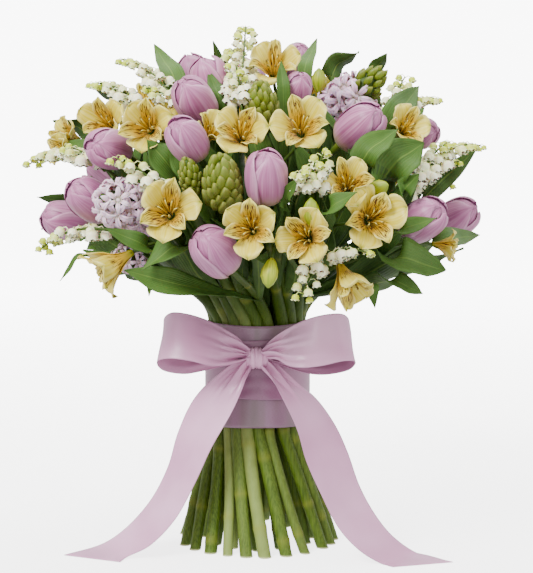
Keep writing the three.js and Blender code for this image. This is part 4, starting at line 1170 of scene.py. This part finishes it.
middle, *rest = sorted(flowers, key=steepness)
middle["slot"] = (0.0, 0.0, -1)
rest.sort(key=from_first)
share = math.ceil(len(rest) / 3)
for t, (_, heart) in enumerate(THIRDS):
    own = sorted(rest[t * share:(t + 1) * share], key=steepness)
    for radius, angles in RINGS:
        taken, own = sorted(own[:len(angles)], key=from_first), own[len(angles):]
        for flower, angle in zip(taken, angles):
            flower["slot"] = (radius, heart + angle, t)
print("on the middle stem:", middle["name"])


# %% Routes of the stems
def stem_route(f, steps):
    radius, angle, _ = f["slot"]
    floor = SPREAD["inner"] + (SPREAD["outer"] - SPREAD["inner"]) * (radius - 20) / 18 if radius else 0.0
    out, aside = (polar(1, angle), polar(1, angle - 90)) if radius else (vec(0, 0, 0), vec(0, 0, 0))
    top = polar(radius, angle, BAND["high"] + 3)
    span = np.linalg.norm(f["foot"] - top)
    lead = unit(vec(0, 0, 0.85) + 0.3 * out + 0.4 * aside)
    upper = bezier(top, top + lead * span * 0.33, f["foot"] - f["heading"] * span * 0.33, f["foot"], steps)
    return np.vstack([polar(floor, angle + SPREAD["turn"]), polar(radius, angle, BAND["low"] - 3), upper])


def fine_stem(f, rng):
    """A stem's route every few millimetres, with its radius, its leaf scars and its tone."""
    route = stem_route(f, 14)
    route[0] += polar(rng.uniform(0, 3), rng.uniform(0, 360))
    route[0] -= toward(route[0], route[1]) * 3
    route[-1] = f["foot"] + f["heading"] * 1.0
    gaps = np.linalg.norm(np.diff(route, axis=0), axis=1)
    at = np.concatenate([[0], np.cumsum(gaps)])
    fine = np.linspace(0, at[-1], int(at[-1] / 4))
    points = np.stack([np.interp(fine, at, route[:, k]) for k in range(3)], 1)
    inner = slice(2, -2)
    points[inner] = (points[:-4] + points[1:-3] + points[2:-2] + points[3:-1] + points[4:]) / 5
    free = np.sin(math.pi * np.clip(points[:, 2] / BAND["low"], 0, 1))[:, None]
    points += polar(rng.uniform(0, 2.2), rng.uniform(0, 360)) * free
    thick, slim, foot = STEM["thick"], f["slim"], STEM["foot"]
    upper = at[-1] - at[2]
    radius = np.interp(fine, [0, at[1], at[2], at[2] + 0.33 * upper, at[2] + 0.66 * upper, at[-1]],
                       [foot, thick, thick, (thick + slim) / 2, slim, slim])
    kind = rng.choice([0.82, 0.92, 1.04])
    scars = np.zeros_like(fine)
    for spot in np.arange(rng.uniform(12, 60), at[-1], rng.uniform(60, 95)):
        scars += np.exp(-((fine - spot) / 3.2) ** 2)
    radius = radius * kind * (1 + 0.02 * np.sin(fine / 17 + 9 * rng.random())) * (1 + 0.1 * scars)
    tone = np.full_like(fine, 0.7 if rng.random() < 0.11 else 0.24 * rng.random())
    return points, radius / 1000, np.minimum(scars, 1) * 0.4, tone


def stem_tree():
    t = Tree("round stems along routes", Sides="Int", Finish="Material")
    curve = t.add("GeometryNodeMeshToCurve", Mesh=t.given("Geometry"))
    radius = t.add("GeometryNodeInputNamedAttribute", settings=dict(data_type="FLOAT"), Name="radius_m")
    section = t.add("GeometryNodeCurvePrimitiveCircle", settings=dict(mode="RADIUS"),
                    Resolution=t.given("Sides"), Radius=1.0)
    stems = t.add("GeometryNodeCurveToMesh", Curve=curve, Profile_Curve=section, Scale=radius, Fill_Caps=True)
    return t.close(t.made(stems, "Finish"))


stems = stem_tree()
print("a stem's length:", round(np.linalg.norm(np.diff(stem_route(middle, 3), axis=0), axis=1).sum()), "mm")

# %% Leaves
def host_of(target):
    centre = vec(0, 0, BAND["high"])
    way = toward(centre, target)
    return max((f for f in flowers if f["slot"][2] >= 0), key=lambda f: toward(centre, f["foot"]) @ way)


NARROW = 18  # mm: a leaf under this width tapers sooner


def leaf(tip, wide, width, host, rng, low=None):
    """A blade that leaves its stem and bends out through its widest place.

    With low, it starts there, inside the band.
    """
    coarse = stem_route(host, 3)
    root = mix(coarse[2], coarse[3], 0.8) if low is None else low
    away = toward(vec(0, 0, root[2]), root)
    start = root + away
    route = through([start, mix(start, wide, 0.5) + away * 5, wide, mix(wide, tip, 0.5), tip], 7)
    s, t = np.linspace(0, 1, len(route))[:, None], np.linspace(-1, 1, 9)[None, :]
    if low is not None:
        half = width / 2 * ease(s, [0, 0.3, 0.6, 0.84, 1], [0.8, 1, 0.95, 0.5, 0.0])
    elif width < NARROW:
        half = width / 2 * ease(s, [0, 0.2, 0.36, 0.6, 0.82, 1], [0.4, 0.7, 0.95, 0.95, 0.55, 0.0])
    else:
        half = width / 2 * ease(s, [0, 0.16, 0.32, 0.52, 0.68, 0.84, 1], [0.26, 0.54, 0.84, 1, 0.86, 0.48, 0.0])
    ways = headings(route)
    outward = toward(vec(0, 0, HEAD["middle"] - 120), wide)
    face = outward - ways * (ways @ outward)[:, None]
    face /= np.linalg.norm(face, axis=1, keepdims=True)
    roll = rng.normal(0, 0.18) * s
    side = np.cross(ways, face)
    face, side = face * np.cos(roll) + side * np.sin(roll), side * np.cos(roll) - face * np.sin(roll)
    wave = 0.07 * width * np.sin(10 * s + 6 * rng.random()) * t * np.abs(t) * (s > 0.15)
    lift = half * 0.34 * np.abs(t) ** 1.5 + wave
    grid = route[:, None, :] + side[:, None, :] * (half * t)[..., None] + face[:, None, :] * lift[..., None]
    return shell(grid, 0.8 - 0.3 * np.abs(t) + 0 * s, along=s, across=t, tone=rng.random())


print("narrow leaves in the lists:", sum(width < NARROW for _, _, width, _ in LEAVES), "of", len(LEAVES))

# %% Stems and leaves, one pair of pieces for each third
DEEP_LEAVES, LOW_LEAVES, BAND_LEAVES = 60, 15, 7  # deep in the dome, above the band, and from inside it
GOLDEN_TURN = 137.5  # degrees
rng = np.random.default_rng(7)
routes = {t: [] for t in (-1, 0, 1, 2)}
blades = {t: [] for t in (0, 1, 2)}
for flower in flowers:
    routes[flower["slot"][2]].append(fine_stem(flower, rng))
for item in sprays:
    host = host_of(item["foot"])
    root = stem_route(host, 3)[3]
    span = np.linalg.norm(item["foot"] - root)
    route = bezier(root, mix(root, item["foot"], 0.4), item["foot"] - item["heading"] * span * 0.3, item["foot"], 20)
    routes[host["slot"][2]].append(
        (route, np.linspace(2, 1.2, len(route)) / 1000, np.zeros(len(route)), np.full(len(route), 0.2)))
front = [(on_dome(tip, lift + 2), on_dome(wide, lift - 14), width) for tip, wide, width, lift in LEAVES]
behind = [(dome_place(turn, height), dome_place(turn, height - 14, 40), 24) for turn, height in BACK["leaves"]]
deep = [(dome_place(GOLDEN_TURN * k, 76 - 1.45 * k, 26 + 5 * (k % 3)),
         dome_place(GOLDEN_TURN * k + 8, 62 - 1.45 * k, 66), 21 + 4 * (k % 2)) for k in range(DEEP_LEAVES)]
collar = [(polar(92 + 6 * (k % 3), 24 * k + 20, 296 + 8 * (k % 4)), polar(58, 24 * k, 244), 15 + 3 * (k % 2))
          for k in range(LOW_LEAVES)]
for tip, wide, width in front + behind + deep + collar:
    host = host_of(wide)
    blades[host["slot"][2]].append((leaf(tip, wide, width, host, rng), 0))
for k in range(BAND_LEAVES):
    tip, wide, low = polar(48, 51 * k + 40, 318), polar(19, 51 * k + 14, 246), polar(11, 51 * k + 14, 192)
    host = host_of(polar(50, 51 * k + 14, 230))
    blades[host["slot"][2]].append((leaf(tip, wide, 23, host, rng, low), 0))
for t, lines in routes.items():
    third = THIRDS[t][0] if t >= 0 else "middle"
    node = f"stems_leaves_{third}" if t >= 0 else "stem_middle"
    base = wire(node, [r for r, _, _, _ in lines], radius_m=[r for _, r, _, _ in lines],
                scar=[s for _, _, s, _ in lines], tone=[k for _, _, _, k in lines])
    mesh = grown(base, stems, Sides=14, Finish=stem_green)
    for vertex in mesh.vertices:
        vertex.co.z = max(vertex.co.z, 0.0)
    mesh.polygons.foreach_set("use_smooth", [len(p.vertices) < 5 for p in mesh.polygons])
    link(bpy.data.objects.new(f"stems_{third}", mesh), node)
    if t >= 0:
        piece(f"leaves_{third}", blades[t], [leaf_green], node)
    print(third, len(lines), "stems", len(blades.get(t, [])), "leaves")

# %% [markdown]
# ## The satin ribbon
#
# Satin shows long threads on its face, so it has a soft sheen that changes as it folds. Its finish is a
# very fine weave on the ribbon's own length and width, with a broad sheen. The band round the stems is
# greyer, because the green shows through it a little.

# %% Satin finish
def satin_finish(name, dark, light, lining, show_through=0.0):
    f = Finish(name, Roughness=0.3, Sheen_Weight=0.14, Sheen_Roughness=0.35, Anisotropic=0.4)
    f.shader.inputs["Sheen Tint"].default_value = tint("f3dcea")
    f.shader.inputs["Specular IOR Level"].default_value = 0.6
    cloudy = f.noise(f.place(), 17.0, 2.0, 0.5)
    threads = f.noise(f.vector(f.times(f.mark("across"), 150.0), f.times(f.mark("along"), 26.0), 0.0), 1.0, 2.0)
    weave = f.math("SINE", f.times(f.mark("across"), 420.0))
    body = f.blend(f.spread(cloudy, 0.25, 0.78), tint(dark), tint(light))
    body = f.over(body, f.times(f.minus(threads, 0.35), 0.35), "f0dbe9")
    stems_behind = f.noise(f.vector(f.times(f.mark("along"), 3.4), f.times(f.mark("across"), 0.3), 0.0), 1.0, 1.0)
    body = f.over(body, f.times(f.spread(stems_behind, 0.35, 0.65), show_through), "777269")
    selvedge = f.spread(f.math("ABSOLUTE", f.mark("across")), 0.955, 0.985)
    body = f.over(body, f.times(selvedge, 0.35), "a9809d")
    body = f.over(body, f.times(f.mark("inside"), 0.35), lining)
    return f.finish(body, f.plus(f.times(weave, 0.1), threads), 0.1, 0.0003)


satin = satin_finish("mauve_satin", "d39fbe", "f0c4de", "a87693")
# Painted shade: the turn of ribbon round the band is the bow's satin, made much darker.
turn_satin = satin_finish("shaded_mauve_satin", "8b627b", "a98198", "7c556b")
band_satin = satin_finish("grey_mauve_satin", "896d7f", "a78b9c", "84697a", 0.55)
print("satins:", satin.name, turn_satin.name, band_satin.name)

# %% The band and its turn of ribbon
def cuff(low, high, radius, rows, folds, seed, tight=0.7):
    """A sheet wrapped once round the stems, drawn a little tighter in some places than in others."""
    rng = np.random.default_rng(seed)
    a = np.linspace(0, 2 * math.pi, 288, endpoint=False)[None, :]
    s = np.linspace(0, 1, rows)[:, None]
    reach = radius + 0 * a * s
    for _ in range(7):
        k, tilt, shift = rng.integers(3, 16), rng.uniform(-9, 9), rng.uniform(0, 6.3)
        reach = reach + folds * 0.4 * np.sin(k * a + tilt * s + shift) * np.sin(math.pi * (0.15 + 0.7 * s))
    dy = np.abs((a + math.pi / 2 + math.pi) % (2 * math.pi) - math.pi)
    pull = np.exp(-(dy / 0.9) ** 2)
    reach = reach + folds * pull * np.cos(10 * math.pi * (s - 0.5) * (1 - 0.4 * np.minimum(dy, 1))) * tight
    z = low + (high - low) * s + 0.6 * np.sin(3 * a + seed) * (2 * s - 1)
    grid = np.stack([reach * np.cos(a), reach * np.sin(a), z + 0 * a], 2)
    return shell(grid[:, ::-1], 0.5, loop=True, along=a[:, ::-1] * radius / 46 + 0 * s, across=2 * s - 1 + 0 * a)


outer = BAND["inner"] + BAND["wall"]
band = piece("ribbon_band_cuff", [(cuff(BAND["low"], BAND["high"], outer - 0.35, 30, 0.22, 3), 0)], [band_satin],
             "ribbon_band")
turn = piece("ribbon_band_turn", [(cuff(BAND["wrap_low"], BAND["wrap_high"], outer + 1.2, 40, 0.3, 5, 1.3), 0)],
             [turn_satin], "ribbon_band")
print("round the band:", round(2 * math.pi * outer), "mm")

# %% [markdown]
# ## The bow
#
# The bow is one ribbon that runs out, folds back and comes home to the knot on each side, with two tails
# that fall and lie on the floor. Each run is written as the pixels of its two edges. It is drawn
# between them as a sheet, and where it is gathered into the knot the spare width stands in pleats.

# %% The runs of ribbon
RIBBON = dict(width=46.0, wall=1.3)
KNOT_HALF = 9.5  # half of the knot's width and of its thickness
KNOT = vec(0, -(BAND["inner"] + BAND["wall"] + BAND["wrap_wall"] + KNOT_HALF), 172)
LOOPS = [
    [(246, 351, 247, 360, 55, 9), (228, 338, 222, 366, 52, 30), (205, 330, 203, 371, 50), (182, 331, 184, 374, 50),
     (166, 326, 163, 370, 58), (164, 318, 158, 362, 68), (172, 312, 168, 359, 78), (190, 314, 190, 361, 82),
     (210, 321, 208, 365, 80), (226, 330, 222, 366, 75, 38), (240, 340, 237, 363, 67, 22), (246, 350, 246, 359, 61, 9)],
    [(264, 351, 264, 360, 55, 9), (283, 340, 287, 368, 52, 30), (308, 331, 309, 374, 50), (328, 332, 327, 375, 50),
     (346, 327, 350, 370, 58), (348, 320, 356, 362, 68), (341, 314, 345, 361, 78), (322, 315, 322, 366, 82),
     (302, 321, 303, 368, 80), (287, 329, 289, 366, 75, 38), (274, 340, 276, 359, 67, 22), (266, 350, 266, 358, 61, 9)]]
TAILS = [
    [(247, 359, 253, 364, 57, 8), (222, 371, 245, 383, 62, 30), (195, 398, 232, 412, 64, 44), (178, 432, 212, 448, 66),
     (167, 467, 196, 482, 64), (150, 500, 175, 519, 62), (127, 527, 149, 546, 61), (104, 543, 127, 557, 58)],
    [(264, 359, 257, 364, 57, 8), (288, 376, 271, 380, 62, 26), (314, 396, 286, 404, 66, 42), (334, 424, 298, 430, 68),
     (347, 452, 306, 460, 70), (359, 485, 320, 493, 72), (374, 512, 338, 528, 75), (393, 536, 360, 551, 79)]]
ENDS = [[(64, 555, 120, 562)], [(417, 553, 382, 564), (453, 562, 393, 567)]]


def ribbon_edges(row):
    u, v, u2, v2, depth, width = (*row, RIBBON["width"])[:6]

    def at(pixel, y):
        ray = sight(pixel)
        return AT + ray * (y - AT[1]) / ray[1]

    seen = np.linalg.norm(at((u, v), -depth) - at((u2, v2), -depth))
    lean = math.sqrt(max(0, width ** 2 - seen ** 2)) / 2
    return at((u, v), -depth + lean), at((u2, v2), -depth - lean)


def floor_edges(row):
    rays = [sight(row[:2]), sight(row[2:])]
    return tuple(AT + ray * (RIBBON["wall"] / 2 + 0.05 - AT[2]) / ray[2] for ray in rays)


print("middle of the knot:", KNOT.round(1))

# %% Drawing a run
def run(edges, both_ends, seed):
    rng = np.random.default_rng(seed)
    outer_edge, inner_edge = through([a for a, _ in edges], 10), through([b for _, b in edges], 10)
    n = len(outer_edge)
    s, t = np.linspace(0, 1, n)[:, None], np.linspace(-1, 1, 41)[None, :]
    grid = outer_edge[:, None, :] * ((1 - t) / 2)[..., None] + inner_edge[:, None, :] * ((1 + t) / 2)[..., None]
    across = inner_edge - outer_edge
    width = np.linalg.norm(across, axis=1)
    normal = np.cross(headings((outer_edge + inner_edge) / 2), across / width[:, None])
    normal /= np.linalg.norm(normal, axis=1, keepdims=True)
    gather = np.clip(0.86 - width / RIBBON["width"], 0, 1)[:, None]
    length = np.linalg.norm(np.diff((outer_edge + inner_edge) / 2, axis=0), axis=1).sum()
    near = np.minimum(s, 1 - s) * length if both_ends else s * length
    reach = np.exp(-(near / 34) ** 2)
    pleat = 0
    for k, size in ((2.4, 1.0), (4.2, 0.75), (6.6, 0.45)):
        pleat = pleat + size * np.cos(math.pi * k * t + rng.uniform(0, 6.3) + 1.2 * s)
    tuck = (5.4 * gather + 2.4 * reach) * pleat * 0.62 * (1 - 0.3 * t ** 4)
    floor = np.clip((grid[..., 2] - 6) / 30, 0, 1)
    sway = 0.8 * np.sin(9 * s + 2.2 * t + seed) * (1 - reach) * floor
    grid = grid + normal[:, None, :] * ((tuck * floor + sway)[..., None])
    grid[..., 2] = np.maximum(grid[..., 2], 0.45)
    return shell(grid, 0.42, along=s * length / 46, across=t), length


def knot():
    """The short turn of ribbon that holds the bow, with folds that run round it."""
    a = np.linspace(0, 2 * math.pi, 48, endpoint=False)
    rings = []
    for x in np.linspace(-1, 1, 45):
        groove = sum(deep * np.exp(-((x - at - 0.1 * np.sin(a + 9 * at)) / 0.075) ** 2)
                     for at, deep in ((-0.66, 0.1), (-0.24, 0.15), (0.1, 0.09), (0.5, 0.15)))
        swell = KNOT_HALF * (1 - 0.30 * abs(x) ** 2.6) * (1 - groove) * (1 + 0.04 * np.sin(2 * a + 2 * x))
        rings.append(np.stack([KNOT_HALF * x + 0 * a, swell * np.cos(a) * 0.98, swell * np.sin(a)], 1) + KNOT)
    return skin(rings, along=(a / 2)[None, :], across=np.linspace(-0.9, 0.9, 45)[:, None])


parts, total = [(knot(), 0)], 0
for i in range(2):
    loop, length = run([ribbon_edges(row) for row in LOOPS[i]], True, 11 + i)
    tail, hang = run([ribbon_edges(row) for row in TAILS[i]] + [floor_edges(row) for row in ENDS[i]], False, 21 + i)
    parts += [(loop, 0), (tail, 0)]
    total += length + hang
    print("loop", round(length), "mm, tail", round(hang), "mm")
bow = piece("ribbon_bow_loops", parts, [satin], "ribbon_bow")

# %% [markdown]
# ## Floor and light
#
# The picture is a plain studio one: pale all round, with soft light from in front and above. A sweep,
# which is a round floor that curves up into a wall, gives that with no horizon. It isn't part of the bouquet.

# %% The sweep
FLOOR = dict(radius=5.0, bend=1.5, height=5.0, turns=72)  # metres


def sweep():
    """A round floor that curves up into a wall, and shines a little, more so towards the back."""
    radius, bend, turns = FLOOR["radius"], FLOOR["bend"], FLOOR["turns"]
    profile = [(0.02, 0.0), (radius, 0.0)]
    profile += [(radius + bend * math.sin(a), bend - bend * math.cos(a)) for a in np.linspace(0.1, math.pi / 2, 14)]
    profile.append((radius + bend, FLOOR["height"]))
    verts = [(*polar(r, 360 * k / turns)[:2], z) for r, z in profile for k in range(turns)]
    faces = [(i * turns + k, i * turns + (k + 1) % turns, (i + 1) * turns + (k + 1) % turns, (i + 1) * turns + k)
             for i in range(len(profile) - 1) for k in range(turns)]
    faces = [face[::-1] for face in faces] + [tuple(range(turns))]
    mesh = bpy.data.meshes.new("sweep")
    mesh.from_pydata(verts, [], faces)
    smooth(mesh)
    f = Finish("pale_paper", Roughness=0.85)
    f.shader.inputs["Emission Color"].default_value = (1, 1, 1, 1)
    _, y, _ = f.split(f.place())
    f.links.new(f.spread(y, -1.0, 3.0, 2.6, 8.0), f.shader.inputs["Emission Strength"])
    paper = f.blend(f.spread(f.noise(f.place(), 3.0, 2.0), 0.3, 0.7), tint("f7f7f6"), tint("fbfbfa"))
    mesh.materials.append(f.finish(paper))
    floor = bpy.data.objects.new("sweep", mesh)
    bpy.context.scene.collection.objects.link(floor)
    floor.visible_glossy = floor.visible_diffuse = False


sweep()
print("floor:", FLOOR["radius"], "m to where it curves up")

# %% The lights
world = bpy.data.worlds.new("studio")
world.use_nodes = True
background = next(n for n in world.node_tree.nodes if n.type == "BACKGROUND")
background.inputs[0].default_value = (1.0, 1.0, 1.0, 1.0)
background.inputs[1].default_value = 1.25
bpy.context.scene.world = world


def softbox(name, at, size, power):
    data = bpy.data.lights.new(name, "AREA")
    data.shape, data.size, data.size_y, data.energy = "RECTANGLE", size[0], size[1], power
    lamp = bpy.data.objects.new(name, data)
    lamp.location = at
    lamp.rotation_euler = (Vector((0, 0, 0.26)) - Vector(at)).to_track_quat("-Z", "Y").to_euler()
    bpy.context.scene.collection.objects.link(lamp)


softbox("key", (-1.1, -1.5, 1.7), (0.9, 0.9), 80)
softbox("fill", (1.6, -1.2, 0.9), (1.4, 1.4), 14)
softbox("top", (0.1, 0.5, 2.0), (1.3, 1.3), 28)

# %% [markdown]
# ## Tidying up
#
# Meshes that nothing uses are removed, and the triangles of what is shown are counted.

# %% Tidying up
for mesh in [m for m in bpy.data.meshes if m.users == 0]:
    bpy.data.meshes.remove(mesh)
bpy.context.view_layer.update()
shown = [o.data for o in bpy.data.objects if o.type == "MESH" and not o.hide_render]
print("triangles:", sum(len(face.vertices) - 2 for mesh in shown for face in mesh.polygons))
